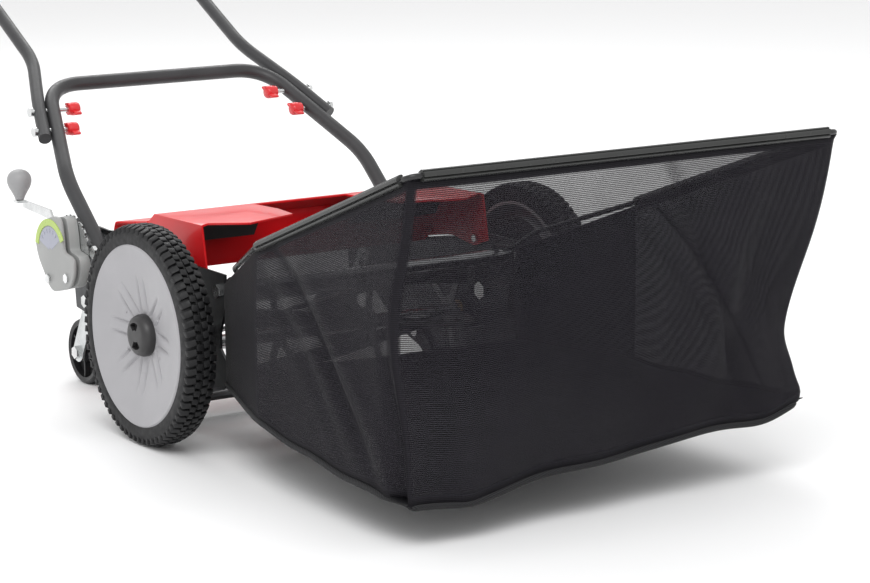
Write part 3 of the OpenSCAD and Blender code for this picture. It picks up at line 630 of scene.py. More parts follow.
def tyre_carcass(bm):
    """The tyre's body below the lugs, with a raised rib round the middle."""
    shoulder = WHEEL_R - settings().wheels.lug_height
    half = [(DISC_R, WHEEL_IN + 1.4 * MM), (DISC_R + 3 * MM, WHEEL_IN + 0.5 * MM),
            (DISC_R + 9 * MM, WHEEL_IN + 0.2 * MM), (DISC_R + 14 * MM, WHEEL_IN + 0.9 * MM),
            (shoulder - 2 * MM, WHEEL_IN + 2.6 * MM), (shoulder, WHEEL_IN + 6 * MM),
            (shoulder + 0.4 * MM, WHEEL_IN + 14 * MM)]
    middle = (WHEEL_IN + WHEEL_OUT) / 2
    rib = [(WHEEL_R - 2 * MM, middle - 1 * MM), (WHEEL_R - 2 * MM, middle + 1 * MM)]
    foot = [(shoulder + 0.5 * MM, middle - 1.3 * MM), (shoulder + 0.5 * MM, middle + 1.3 * MM)]
    other = [(r, WHEEL_IN + WHEEL_OUT - x) for r, x in reversed(half)]
    lathe(bm, half + [foot[0]] + rib + [foot[1]] + other, WHEEL_CENTRE, steps=144, closed=True)


def tyre_lugs(bm):
    """Two staggered rows of claw-shaped lugs on each side of the centre rib."""
    sizes = settings().wheels
    pitch = TAU / sizes.lugs
    middle = (WHEEL_IN + WHEEL_OUT) / 2
    height = sizes.lug_height + 1.6 * MM
    flat_half, shoulder_slope = 13 * MM, 0.7
    long_side = 7.3 * MM
    rows = [(4.3 * MM, 7.4 * MM, 0.0, 10), (12.9 * MM, 10.0 * MM, 0.5, -12)]
    for hand in (-1, 1):
        for offset, wide, stagger, slant in rows:
            made = block(bm, (wide, long_side, height), Matrix.Identity(4), 0.7 * MM, 2)
            turn = Matrix.Rotation(math.radians(slant * hand), 4, "Z")
            place = Matrix.Translation((middle + hand * offset, 0, WHEEL_R - height / 2))
            spin = Matrix.Rotation(pitch * (stagger + 0.25 * (hand > 0)), 4, "X")
            centre = Matrix.Translation(WHEEL_CENTRE)
            bmesh.ops.transform(bm, matrix=centre @ spin @ place @ turn, verts=made)
            for v in made:
                outward = abs(v.co.x - middle) - flat_half
                if outward > 0:
                    arm = v.co - WHEEL_CENTRE
                    arm.x = 0
                    v.co -= arm.normalized() * outward * shoulder_slope
            geom = made + list({e for v in made for e in v.link_edges})
            geom += list({f for v in made for f in v.link_faces})
            bmesh.ops.spin(bm, geom=geom, cent=WHEEL_CENTRE, axis=(1, 0, 0), angle=TAU - pitch,
                           steps=sizes.lugs - 1, use_duplicate=True, use_merge=False)


def face_x(r):
    """Where the dished face of a disc stands at radius r."""
    share = min(1.0, max(0.0, (r - HUB_R) / (RIM_R - HUB_R)))
    return WHEEL_OUT - DISH * (1 - share) - 0.5 * MM * share


def crease(angle, r):
    """Depth of the soft creases that run out from the hub in pairs."""
    sizes = settings().wheels
    reach = (r - HUB_R - 2 * MM) / CREASE_REACH
    if not 0 < reach < 1 or not sizes.crease_groups:
        return 0.0
    fade = math.sin(math.pi * min(1, reach * 1.15 + 0.12)) ** 0.7
    step = TAU / sizes.crease_groups
    near = (angle + step / 2) % step - step / 2
    across = near * r
    depth = 0.0
    for at, deep in ((-7.5 * MM, 1.0), (7.0 * MM, 0.85)):
        depth += deep * hump(across - at - 0.06 * (r - HUB_R), 1.7 * MM)
    depth -= 0.35 * hump(across, 5 * MM)
    return depth * fade * sizes.crease_depth


def wheel_disc(bm):
    """The creased disc: dished face, rim, gear seat and hub boss."""
    fine = [HUB_R + (RIM_R - HUB_R) * k / 44 for k in range(45)]
    seat = RING_R + 3 * MM
    bore, boss = 6.2 * MM, 15 * MM
    back = WHEEL_OUT - DISH
    profile = [(bore, back)] + [(r, face_x(r)) for r in fine]
    profile += [(RIM_R + 0.8 * MM, WHEEL_OUT - 0.1 * MM), (RIM_R + 2.6 * MM, WHEEL_OUT)]
    profile += [(DISC_R, WHEEL_OUT - 1.2 * MM), (DISC_R, WHEEL_IN + 1.2 * MM), (RIM_R, WHEEL_IN + 1.2 * MM)]
    profile += [(RIM_R, WHEEL_OUT - 5 * MM), (seat, back + 5 * MM), (seat, GEAR_IN), (RING_R, GEAR_IN)]
    profile += [(RING_R, back + 4 * MM), (boss, back - 4 * MM), (boss, GEAR_IN), (bore, GEAR_IN)]
    lathe(bm, profile, WHEEL_CENTRE, steps=360, closed=True)
    weld(bm)
    for v in bm.verts:
        arm = v.co - WHEEL_CENTRE
        r = math.hypot(arm.y, arm.z)
        if HUB_R < r < RIM_R and abs(v.co.x - face_x(r)) < 1e-5:
            v.co.x -= crease(math.atan2(arm.z, arm.y), r)


def disc_nubs(bm):
    """Small moulded pins round the hub."""
    for k in range(6):
        angle = math.radians(88 + 60 * k)
        r = 43 * MM
        spot = WHEEL_CENTRE + Vector((face_x(r), r * math.cos(angle), r * math.sin(angle)))
        lathe(bm, in_metres([(1.5, -0.8), (1.4, 0.6), (0.8, 1.2), (0, 1.3)]), spot, steps=12)


def hub_cap(bm):
    """The rounded cap, with a pocket above and below its middle."""
    back = WHEEL_OUT - DISH
    top = WHEEL_OUT - 0.2 * MM
    bulge = [(HUB_R, back), (HUB_R, back + 5 * MM), (HUB_R - 0.8 * MM, back + 8 * MM),
             (HUB_R - 2.6 * MM, top - 2.4 * MM), (HUB_R - 5.4 * MM, top - 0.6 * MM), (HUB_R - 8 * MM, top)]
    inner = [(12 * MM, top), (6 * MM, top), (0, top)]
    lathe(bm, bulge + inner, WHEEL_CENTRE, steps=60)
    weld(bm)
    pocket_in, pocket_out, pocket_half = 5 * MM, 16 * MM, math.radians(38)
    for middle in (math.radians(80), math.radians(260)):
        faces = []
        for f in bm.faces:
            spot = f.calc_center_median() - WHEEL_CENTRE
            r = math.hypot(spot.y, spot.z)
            turn = (math.atan2(spot.z, spot.y) - middle + math.pi) % TAU - math.pi
            if pocket_in < r < pocket_out and abs(turn) < pocket_half and spot.x > top - 0.1 * MM:
                faces.append(f)
        bmesh.ops.inset_region(bm, faces=faces, thickness=0.7 * MM)
        verts = new_verts(bmesh.ops.extrude_face_region(bm, geom=faces))
        bmesh.ops.translate(bm, vec=(-5.5 * MM, 0, 0), verts=verts)
        bmesh.ops.delete(bm, geom=faces, context="FACES_ONLY")


class MOWER_OT_wheels(bpy.types.Operator):
    """Builds the main wheels: treaded tyres, creased discs and hub caps"""

    bl_idname = "mower.wheels"
    bl_label = "Main wheels"

    def execute(self, context):
        for name, side in SIDES:
            for looks, node, material, sharp, shapes in (
                    ("tread_tyre", "tyre", "tyre_rubber", 32, (tyre_carcass, tyre_lugs)),
                    ("creased_disc", "wheel_disc", "disc_plastic", 40, (wheel_disc, disc_nubs)),
                    ("round_cap", "hub_cap", "hub_plastic", 40, (hub_cap,))):
                bm = bmesh.new()
                for shape in shapes:
                    shape(bm)
                flip_to_right(bm, side)
                piece(bm, f"{looks}_{name}", f"wheel_{name}", material, [f"{node}_{name}"], sharp)
        return {"FINISHED"}


def small_wheel(bm):
    """A moulded wheel with a thick rim, a web with six ribs and a boss."""
    wide = high("rear_wheel_left").x - low("rear_wheel_left").x
    half = wide / 2
    r = REAR_WHEEL_R
    tread = [(r - 8 * MM, half - 1 * MM), (r - 3 * MM, half), (r - 1 * MM, half - 1.2 * MM),
             (r, half - 4 * MM)]
    rim = [(at, -x) for at, x in tread] + tread[::-1]
    web = [(r - 9 * MM, 3 * MM), (13 * MM, 3 * MM), (12 * MM, half), (5.2 * MM, half)]
    back = [(5.2 * MM, -half), (12 * MM, -half), (13 * MM, -3 * MM), (r - 9 * MM, -3 * MM)]
    lathe(bm, rim + web + back, REAR_CENTRE, steps=96, closed=True)
    for k in range(6):
        turn = Matrix.Translation(REAR_CENTRE) @ Matrix.Rotation(TAU * k / 6, 4, "X")
        rib = turn @ Matrix.Translation((0, 0, (r + 3.5 * MM) / 2))
        block(bm, (wide - 5 * MM, 3 * MM, r - 20 * MM), rib, 0.5 * MM, 1)


class MOWER_OT_rear_wheels(bpy.types.Operator):
    """Builds the small rear wheels"""

    bl_idname = "mower.rear_wheels"
    bl_label = "Rear wheels"

    def execute(self, context):
        for name, side in SIDES:
            bm = bmesh.new()
            small_wheel(bm)
            flip_to_right(bm, side)
            piece(bm, f"ribbed_wheel_{name}", f"rear_wheel_{name}", "black_plastic",
                  [f"rear_wheel_{name}"])
        return {"FINISHED"}


# ---- covers ----
COVER_T = 2.5 * MM


def drawn_out(bm, edges, spots):
    """Extrudes a chain of edges and sets each new vertex down on the spot at its own x."""
    verts, edges = pulled(bm, edges)
    for v in verts:
        v.co = Vector(min(spots, key=lambda p: abs(p[0] * MM - v.co.x))) * MM
    return edges


def cover_skin(bm):
    """The folded cover: flat top with two beaks, rolled rear edge, rear wall and cheeks."""
    half = COVER_HALF / MM
    beak = [(half, -4, 243), (half - 8, -5, 245), (half - 47, -33, 246)]
    bay = [(73, -4, 244.8), (64, 44, 243), (63.6, 100, 240.4)]
    lip = beak + bay + [(-x, y, z) for x, y, z in reversed(beak + bay)]
    _, edges = chain(bm, [Vector(p) * MM for p in lip], closed=False)
    columns = [p[0] for p in lip]
    for y, z in ((106, 240), (124, 226), (124, 168)):
        edges = drawn_out(bm, edges, [(x, y, z) for x in columns])
    for side in (1, -1):
        rim = [v for v in bm.verts if abs(v.co.x - side * COVER_HALF) < 1e-6]
        rim.sort(key=lambda v: (v.co.y, -v.co.z))
        foot = [mm(side * half, y, z) for y, z in ((112, 176), (60, 184), (12, 178), (-15, 188))]
        bm.faces.new(rim + [bm.verts.new(p) for p in foot])


def shell(made, thickness, bevel):
    """Gives a folded skin its wall and rounds its folds."""
    wall = made.modifiers.new("Wall", "SOLIDIFY")
    wall.thickness = thickness
    wall.offset = -1
    wall.use_even_offset = True
    edge = made.modifiers.new("Folds", "BEVEL")
    edge.width = bevel
    edge.segments = 3
    edge.profile = 0.5
    edge.limit_method = "ANGLE"
    edge.angle_limit = math.radians(24)


class MOWER_OT_covers(bpy.types.Operator):
    """Builds the red deflector cover, a black strip under its lip as painted shadow, and the rear apron"""

    bl_idname = "mower.covers"
    bl_label = "Red covers"

    def execute(self, context):
        bm = bmesh.new()
        cover_skin(bm)
        cover = piece(bm, "folded_cover", "chassis", "red_gloss", ["deflector_cover"], 30)
        shell(cover, COVER_T, 2.6 * MM)
        bm = bmesh.new()
        # painted shadow: a black strip under the lip stands in for the shadow the top casts on the inner rear
        # wall
        shadow_strip = [(74, 238), (77, 238), (99, 206), (96, 204.5)]
        for side in (-1, 1):
            ends = sorted((side * (COVER_HALF - 3 * MM), side * 66 * MM))
            slab(bm, in_metres(shadow_strip), *ends)
        piece(bm, "painted_shadow_strip", "chassis", "black_plastic")
        bm = bmesh.new()
        fold = ((124, 229, 0), (204, 217, 0), (210, 196, 0),
                (207.5, 195.4, 0), (202, 214.6, 0), (124, 226.2, 0))
        radii = [0, 6 * MM, 0.6 * MM, 0.6 * MM, 4 * MM, 0]
        outline = rounded([Vector(p) * MM for p in fold], radii, 4, closed=True)
        slab(bm, [(p.x, p.y) for p in outline], -COVER_HALF, COVER_HALF, 0.5 * MM, 2)
        piece(bm, "folded_apron", "chassis", "red_gloss", ["rear_apron"], 30, reach=1e-5)
        return {"FINISHED"}


# ---- height adjuster ----
LEVER_X = (low("height_lever").x + high("height_lever").x) / 2 + 4.5 * MM
DIAL = (270, 176)


def housing_outline(inset=0.0):
    """The housing's outline, rounded, in metres of (y, z)."""
    points = ((312, 184), (305, 201), (283, 213), (262, 220), (246, 220), (240, 199), (238, 180),
              (213, 176), (210, 158), (222, 138), (271, 126), (305, 164))
    radii = (8, 10, 12, 10, 8, 8, 5, 8, 10, 10, 12, 10)
    centre = Vector((264, 176, 0))
    flat = [Vector((y, z, 0)) for y, z in points]
    flat = [p - (p - centre).normalized() * inset for p in flat]
    return in_metres([(p.x, p.y) for p in rounded(flat, radii, 5, closed=True)])


class MOWER_OT_adjuster(bpy.types.Operator):
    """Builds the height adjuster's housing, its inlay and the lever's knob"""

    bl_idname = "mower.adjuster"
    bl_label = "Height adjuster"

    def execute(self, context):
        inner, outer = -high("height_housing").x, -low("height_housing").x
        lever_x = -LEVER_X
        bm = bmesh.new()
        slab(bm, housing_outline(), -outer, -lever_x - 4.2 * MM, 2.2 * MM, 4)
        piece(bm, "housing_shell", "chassis", "housing_plastic", ["height_housing"], 34)
        bm = bmesh.new()
        slab(bm, housing_outline(1.2), -lever_x + 0.6 * MM, -inner, 1.0 * MM, 2)
        piece(bm, "housing_back", "chassis", "housing_plastic", (), 34)
        bm = bmesh.new()
        arc_inlay(bm, outer)
        piece(bm, "lime_arc", "chassis", "lime_plastic", ["housing_trim"], 30)
        bm = bmesh.new()
        scale_panel(bm, outer)
        piece(bm, "scale_panel", "chassis", "panel_plastic", (), 30)
        bm = bmesh.new()
        spot = middle_of("lever_knob")
        spot.z = low("lever_knob").z
        pear = [(0, 0), (4.6, 0), (5.6, 1.2), (6.4, 4), (9.6, 10), (12.8, 15.5), (14.6, 20.5), (15, 24.5),
                (14.3, 28.6), (12.2, 32.6), (8.6, 35.6), (4.4, 37.1), (0, 37.5)]
        smooth = rounded([Vector((r, z, 0)) * MM for r, z in pear], 1.5 * MM, 2)
        lathe(bm, [(p.x, p.y) for p in smooth], spot, steps=48, axis=(0, 0, 1), start=(1, 0, 0))
        piece(bm, "pear_knob", "height_lever", "knob_plastic", ["lever_knob"], 50)
        return {"FINISHED"}


def on_dial(radius, angle):
    return DIAL[0] + radius * math.cos(angle), DIAL[1] + radius * math.sin(angle)


def arc_band(bm, inner, outer, start, end, x0, x1, steps=28):
    """A flat curved band round the dial's centre, from angle to angle in degrees."""
    angles = [math.radians(start + (end - start) * k / steps) for k in range(steps + 1)]
    loop = [on_dial(outer, a) for a in angles] + [on_dial(inner, a) for a in reversed(angles)]
    slab(bm, in_metres(loop), x0, x1, 0.4 * MM, 1)


def arc_inlay(bm, outer):
    """The lime arc round the panel."""
    arc_band(bm, 31, 39, 8, 152, -outer - 1.1 * MM, -outer + 0.6 * MM)


def scale_panel(bm, outer):
    """The pale panel inside the arc, with a row of moulded height marks."""
    arc_band(bm, 4, 30, 18, 146, -outer - 0.5 * MM, -outer + 0.6 * MM)
    for k in range(6):
        angle = math.radians(36 + 18 * k)
        y, z = on_dial(25, angle)
        place = Matrix.Translation((-outer - 0.5 * MM, y * MM, z * MM))
        block(bm, (1.2 * MM, 5 * MM, 1.3 * MM), place @ Matrix.Rotation(angle, 4, "X"), 0.2 * MM, 1)


# ---- handle ----
LEG_X = PLATE_OUT + 12 * MM
PIVOT = Vector((LEG_X, 0.205, 0.182))
BEND = Vector((LEG_X, 0.293, 0.256))
CROSS = Vector((LEG_X - 54 * MM, 0.447, 0.3485))
TUBE_R = 9 * MM
UPPER_R = 8 * MM
LEG_RUN = CROSS - BEND


def on_leg(t):
    return BEND + LEG_RUN * t


def mirrored(path):
    return path + [Vector((-p.x, p.y, p.z)) for p in reversed(path)]


def lower_route():
    """The lower tube's path: up from the pivot, over the bend and across."""
    step = (BEND - PIVOT).normalized()
    start = PIVOT - step * 10 * MM
    flat = Vector((CROSS.x - 44 * MM, CROSS.y, CROSS.z))
    bend = rounded([start, BEND, on_leg(0.5)], 26 * MM, 8)
    a, b = on_leg(0.76), on_leg(1)
    shares = [k / 16 for k in range(17)]
    corner = [a * (1 - t) ** 2 + b * (2 * t * (1 - t)) + flat * t * t for t in shares]
    return mirrored(even(bend[:-1], 12 * MM) + even([bend[-1]] + corner, 14 * MM))


def upper_route():
    """The upper tube's path: beside the lower leg, then up and round to the grip."""
    lean = math.sqrt(1 - (LEG_RUN.x / LEG_RUN.length) ** 2)
    beside = Vector(((TUBE_R + UPPER_R + 0.4 * MM) / lean, 0, 0))
    slope = Vector((0, math.cos(math.radians(28.2)), math.sin(math.radians(28.2))))
    base = Vector((CROSS.x - 5 * MM, 0.588, 0.424))
    top = middle_of("foam_grip")
    corner = 62 * MM
    end = Vector((base.x, top.y, top.z)) - slope * corner
    points = [on_leg(0.44) + beside, on_leg(0.8) + beside, Vector((CROSS.x - 4 * MM, 0.495, 0.3745)), base]
    soft = rounded(points + [end], 24 * MM, 6)
    turn = [end + slope * corner * math.sin(a) - Vector((corner * (1 - math.cos(a)), 0, 0))
            for a in [math.radians(5 * k) for k in range(1, 19)]]
    return mirrored(even(soft, 22 * MM) + turn)


def wing_knob(bm, low_corner, high_corner, side):
    """A moulded knob: round body with a collar and two blade-like wings."""
    middle = (low_corner + high_corner) / 2
    tip = low_corner.x if side > 0 else high_corner.x
    foot = high_corner.x if side > 0 else low_corner.x
    foot_d = abs(foot - tip) / MM
    profile = [(0, 0), (5.4, 0), (7.2, 1.0), (8.2, 3), (8.4, 8), (7.8, 12), (7.4, 13), (7.4, foot_d - 0.6),
               (6.6, foot_d), (3.2, foot_d)]
    lathe(bm, in_metres(profile), Vector((0, 0, 0)), steps=40)
    for k in (0, 1):
        turn = Matrix.Rotation(math.radians(20 + 180 * k), 4, "X")
        place = turn @ Matrix.Translation(mm(6.2, 9.8, 0))
        wing = block(bm, (10.5 * MM, 10.5 * MM, 4.6 * MM), place, 2.0 * MM, 3)
        for v in wing:
            flat = turn.inverted() @ v.co
            share = max(0.0, min(1.0, (flat.y - 5 * MM) / (10 * MM)))
            flat.z *= 1 - 0.35 * share
            flat.x += 1.2 * MM * share
            v.co = turn @ flat
    flip_to_right(bm, side)
    bmesh.ops.translate(bm, vec=(tip, middle.y, middle.z), verts=bm.verts)


def grip_sleeve(bm):
    """The grip: a sleeve with rounded ends and a slight waist."""
    end_x = low("foam_grip").x
    r = radius_of("foam_grip")
    end = rounded([(UPPER_R, end_x, 0), (r - 1 * MM, end_x, 0), (r, end_x + 8 * MM, 0)], 4 * MM, 5)
    half = [(p.x, p.y) for p in end]
    waist = [(r - 0.4 * MM, end_x * 0.5), (r - 0.7 * MM, 0)]
    profile = half + waist + [(a, -b) for a, b in reversed(half + waist[:1])]
    middle = middle_of("foam_grip")
    lathe(bm, profile, Vector((0, middle.y, middle.z)), steps=64, closed=True)


class MOWER_OT_handle(bpy.types.Operator):
    """Builds the handle's bent tubes, foam grip and wing knobs"""

    bl_idname = "mower.handle"
    bl_label = "Handle"

    def execute(self, context):
        up = (0, -LEG_RUN.z, LEG_RUN.y)
        for name, route, radius in (("lower", lower_route(), TUBE_R), ("upper", upper_route(), UPPER_R)):
            bm = bmesh.new()
            sweep(bm, route, circle(radius, 28), up)
            piece(bm, f"{name}_tube", "handle", "handle_coat", [f"{name}_handle"], 50)
        bm = bmesh.new()
        grip_sleeve(bm)
        piece(bm, "soft_grip", "handle", "foam", ["foam_grip"], 60)
        for number in range(1, 5):
            node = f"wing_nut_{number}"
            bm = bmesh.new()
            wing_knob(bm, low(node), high(node), -1 if number < 3 else 1)
            piece(bm, f"wing_knob_{number}", node, "knob_red", [node], 40)
        return {"FINISHED"}


# ---- catcher ----
RAIL = Vector((0, -0.050, 0.176))
CLIP_REAR = Vector((0.250, -0.221, 0.257))
CLIP_FRONT = Vector((0.2696, -0.546, 0.378))
WIRE_R = 3 * MM
CLIP_R = 6 * MM


def wire_route():
    """The catcher wire's path: open hook, neck, side and front rail."""
    hook = RAIL + Vector((0.180, 0, 0))
    reach = 11.2 * MM
    loop = [hook + Vector((0, math.cos(a), math.sin(a))) * reach
            for a in [math.radians(v) for v in range(-130, 91, 10)]]
    neck = [mm(180, -82, 190), mm(202, -92, 208)]
    inboard = CLIP_FRONT - Vector((22 * MM, 0, 0))
    corner = rounded([CLIP_REAR.lerp(CLIP_FRONT, 0.93), CLIP_FRONT, inboard], 13 * MM, 8)
    soft = rounded([loop[-1]] + neck + [CLIP_REAR, corner[0]], 9 * MM, 4)
    return mirrored(loop[:-1] + soft + corner[1:])


def clip_section(radius):
    """An open plastic profile: round back, a slot along each side and a bead on top."""
    out = []
    for k in range(60):
        angle = TAU * k / 60
        slot = 0.0
        for at, wide, deep in ((-0.3, 0.13, 0.55), (1.0, 0.10, 0.34)):
            for middle in (at, math.pi - at):
                away = (angle - middle + math.pi) % TAU - math.pi
                slot += deep * hump(away, wide)
        out.append((math.cos(angle) * radius * (1 - slot), math.sin(angle) * radius * (1 - slot)))
    return out


def clip_bar(bm, start, end):
    sweep(bm, even([start, end], 60 * MM), clip_section(CLIP_R))


class MOWER_OT_catcher_frame(bpy.types.Operator):
    """Builds the catcher's bent wire and the plastic profiles that grip the cloth"""

    bl_idname = "mower.catcher_frame"
    bl_label = "Catcher frame"

    def execute(self, context):
        bm = bmesh.new()
        sweep(bm, wire_route(), circle(WIRE_R, 16), (1, 0.8, 0.9))
        piece(bm, "bent_wire", "catcher", "wire_paint", ["catcher_frame"], 50)
        bm = bmesh.new()
        inset = Vector((14 * MM, 0, 0))
        left = Vector((-CLIP_FRONT.x, CLIP_FRONT.y, CLIP_FRONT.z))
        clip_bar(bm, left + inset, CLIP_FRONT - inset)
        for hand in (1, -1):
            rear = Vector((CLIP_REAR.x * hand, CLIP_REAR.y, CLIP_REAR.z))
            front = Vector((CLIP_FRONT.x * hand, CLIP_FRONT.y, CLIP_FRONT.z))
            clip_bar(bm, rear.lerp(front, 0.02), rear.lerp(front, 0.955))
        piece(bm, "cloth_profiles", "catcher", "clip_plastic", ["frame_clips"], 24)
        return {"FINISHED"}


# The cloth's corner points, from the right throat round the front to the left one
TOP = [mm(-200, -66, 186), mm(-250, -221, 253), mm(-269, -545, 375),
       mm(269, -545, 375), mm(250, -221, 253), mm(200, -66, 186)]
FOOT = [mm(-199, -68, 75), mm(-250, -223, 70), mm(-263, -528, 47),
        mm(258, -508, 82), mm(250, -223, 72), mm(199, -68, 75)]
COLUMNS = [22, 54, 96, 54, 22]
RIGHT_SIDE, FRONT_PANEL, LEFT_SIDE = 1, 2, 3
CORNER_PULL = 32 * MM
CORNER_REACH = 0.3
HEM_TOP, HEM_FOOT = 0.035, 0.975
SEAM_WIDTH = 6 * MM
SEAM_SOFT = 14 * MM
FOOT_LEVEL = 60 * MM
TIGHT_ABOVE = 0.35
FOLD_FOOT, FOLD_CLIMB = 0.42, 0.30
PLEAT_TOP, PLEAT_RUN = 0.10, 0.72


def front_fold(share, fall):
    """Distance from the front panel's slanting fold, as a share of its width."""
    return 1 - share - FOLD_FOOT + FOLD_CLIMB * fall


def forward_share(part, share):
    """How far forward a place on a side panel is, from 0 at the rear to 1 at the front."""
    return share if part == RIGHT_SIDE else 1 - share


def side_pleat(part, share, fall):
    """Distance from a side panel's slanting pleat, as a share of its length."""
    return forward_share(part, share) - PLEAT_TOP - PLEAT_RUN * fall


def near_corner(distance):
    """1 at a front corner, 0 beyond the reach of its pull; distance is a share of the panel."""
    return max(0.0, 1 - distance / CORNER_REACH)


def foot_wave(part, share):
    """Slack of the lower edge between its corners."""
    if part == FRONT_PANEL:
        dip = -9 * hump(share - 0.13, 0.10) - 6 * math.sin(math.pi * share)
        far_dip = -9 * hump(share - 0.9, 0.07)
        return (dip + far_dip + 1.6 * math.sin(share * 21)) * MM
    if part in (RIGHT_SIDE, LEFT_SIDE):
        return (-3.5 * math.sin(math.pi * share) + 1.3 * math.sin(share * 17 + part)) * MM
    return 0.0


def front_slack(share, fall, hang, ends, low_down):
    """Slack of the front panel in fold depths: ripples, corner folds and one long slanting fold."""
    far = 1 - share
    slant = front_fold(share, fall)
    slack = 0.30 * math.sin(share * 26 + fall * 3) * low_down ** 2 * ends
    slack += 0.55 * hump(share - 0.09 - 0.05 * fall, 0.035) * low_down
    slack -= 0.70 * hump(far - 0.10 - 0.13 * fall, 0.05) * hang
    slack += 0.60 * hump(far - 0.19 - 0.10 * fall, 0.05) * hang
    slack -= 0.75 * hump(slant, 0.018) * hang ** 0.6
    return slack + 0.40 * hump(slant - 0.05, 0.035) * hang


def side_slack(part, share, fall, hang, low_down):
    """Slack of a side panel in fold depths: one slanting pleat and the tuck at the front corner."""
    slide = side_pleat(part, share, fall)
    slack = -0.9 * hump(slide, 0.045) * hang ** 0.5
    slack += 0.55 * hump(slide - 0.13, 0.07) * hang ** 0.5
    slack -= 0.45 * hump(slide + 0.16, 0.05) * hang
    return slack - 2.0 * hump(forward_share(part, share) - 0.955, 0.045) * low_down ** 1.3


def cloth_spot(part, share, fall):
    """A point of the hanging cloth: part of the outline, share along it, fall from the top."""
    cloth = settings().cloth
    top = TOP[part].lerp(TOP[part + 1], share)
    foot = FOOT[part].lerp(FOOT[part + 1], share)
    foot.z += foot_wave(part, share)
    spot = top.lerp(foot, fall)
    along = (TOP[part + 1] - TOP[part]).normalized()
    out = Vector((along.y, -along.x, 0)).normalized()
    hang = math.sin(math.pi * fall)
    ends = math.sin(math.pi * share) ** 0.7
    push = cloth.belly * hang * ends * (0.55 + 0.45 * fall)
    low_down = max(0.0, (fall - TIGHT_ABOVE) / (1 - TIGHT_ABOVE))
    if part == FRONT_PANEL:
        push += cloth.fold * front_slack(share, fall, hang, ends, low_down)
    if part in (RIGHT_SIDE, LEFT_SIDE):
        push += cloth.fold * side_slack(part, share, fall, hang, low_down)
    ripple = noise.noise(Vector((spot.x * 9, spot.y * 9, spot.z * 11))) * 1.6 * MM * hang * ends
    if part in (FRONT_PANEL, LEFT_SIDE):
        spread = 0.34 if fall < 0.7 else 0.15
        waist = hump(fall - 0.7, spread) - 0.3 * hump(fall - 0.97, 0.05)
        spot.x -= CORNER_PULL * waist * near_corner(1 - share if part == FRONT_PANEL else share) ** 1.5
    if part in (RIGHT_SIDE, FRONT_PANEL):
        pull = near_corner(share if part == FRONT_PANEL else 1 - share) ** 1.5
        spot.y += CORNER_PULL * hump(fall - 0.48, 0.28) * pull
    return spot + out * (push + ripple)


def hem_and_fold_shade_share(part, share, fall):
    """1 where the cloth is doubled or close-woven, 0 where it is open mesh; along the slanting folds and
    pleats it rises a little, which closes the mesh there and paints shade as a darker colour.
    """
    if part in (0, 4):
        return 1.0
    rim = 1.0 if fall < HEM_TOP or fall > HEM_FOOT else 0.0
    width = (TOP[part + 1] - TOP[part]).length
    near_seam = share if part == FRONT_PANEL else 1 - share
    seam = 0.6 if part in (RIGHT_SIDE, FRONT_PANEL) and near_seam * width < SEAM_WIDTH else 0.0
    # painted shade: a dark line along each fold and pleat, and a slightly darker side beyond the front fold;
    # partly real gathered cloth, partly the shade in the folds
    if part == FRONT_PANEL:
        slant = front_fold(share, fall)
        fold_shade = 0.10 * hump(slant, 0.016) + 0.04 / (1 + math.exp(90 * slant))
        fold_shade += 0.14 * hump(share - 0.05 - 0.06 * fall, 0.02) * max(0.0, fall - 0.4)
    else:
        slide = side_pleat(part, share, fall)
        fold_shade = 0.22 * hump(slide, 0.014) + 0.05 * hump(slide + 0.16, 0.05)
    return max(rim, seam, fold_shade)


def cloth_shell(bm, rows=56):
    """Bends a flat grid into the catcher's hanging wall and returns its length; UV in metres."""
    total = sum(COLUMNS)
    bmesh.ops.create_grid(bm, x_segments=total, y_segments=rows, size=1)
    starts = [sum(COLUMNS[:k]) for k in range(len(COLUMNS) + 1)]
    hem_and_fold_shade = bm.verts.layers.float.new("hem_and_fold_shade")
    close = bm.verts.layers.float.new("close")
    runs = run_lengths(TOP)
    flat = {}
    for v in bm.verts:
        column = round((v.co.x + 1) / 2 * total)
        fall = (1 - v.co.y) / 2
        part = max(k for k in range(len(COLUMNS)) if starts[k] <= column or k == 0)
        share = (column - starts[part]) / COLUMNS[part]
        depth = (TOP[part].z + (TOP[part + 1].z - TOP[part].z) * share) - FOOT_LEVEL
        flat[v] = (runs[part] + share * (runs[part + 1] - runs[part]), -fall * depth)
        # painted shade along the folds rides in this mask together with the hems
        v[hem_and_fold_shade] = hem_and_fold_shade_share(part, share, fall)
        v[close] = 0.0 if part == FRONT_PANEL else 1.0
        v.co = cloth_spot(part, share, fall)
    lay_uv(bm, flat)
    corners = [v for v in bm.verts if flat[v][1] < 0
               and any(abs(flat[v][0] - run) < SEAM_SOFT for run in runs[1:-1])]
    for _ in range(3):
        bmesh.ops.smooth_vert(bm, verts=corners, factor=0.5,
                              use_axis_x=True, use_axis_y=True, use_axis_z=False)
    return runs[-1]


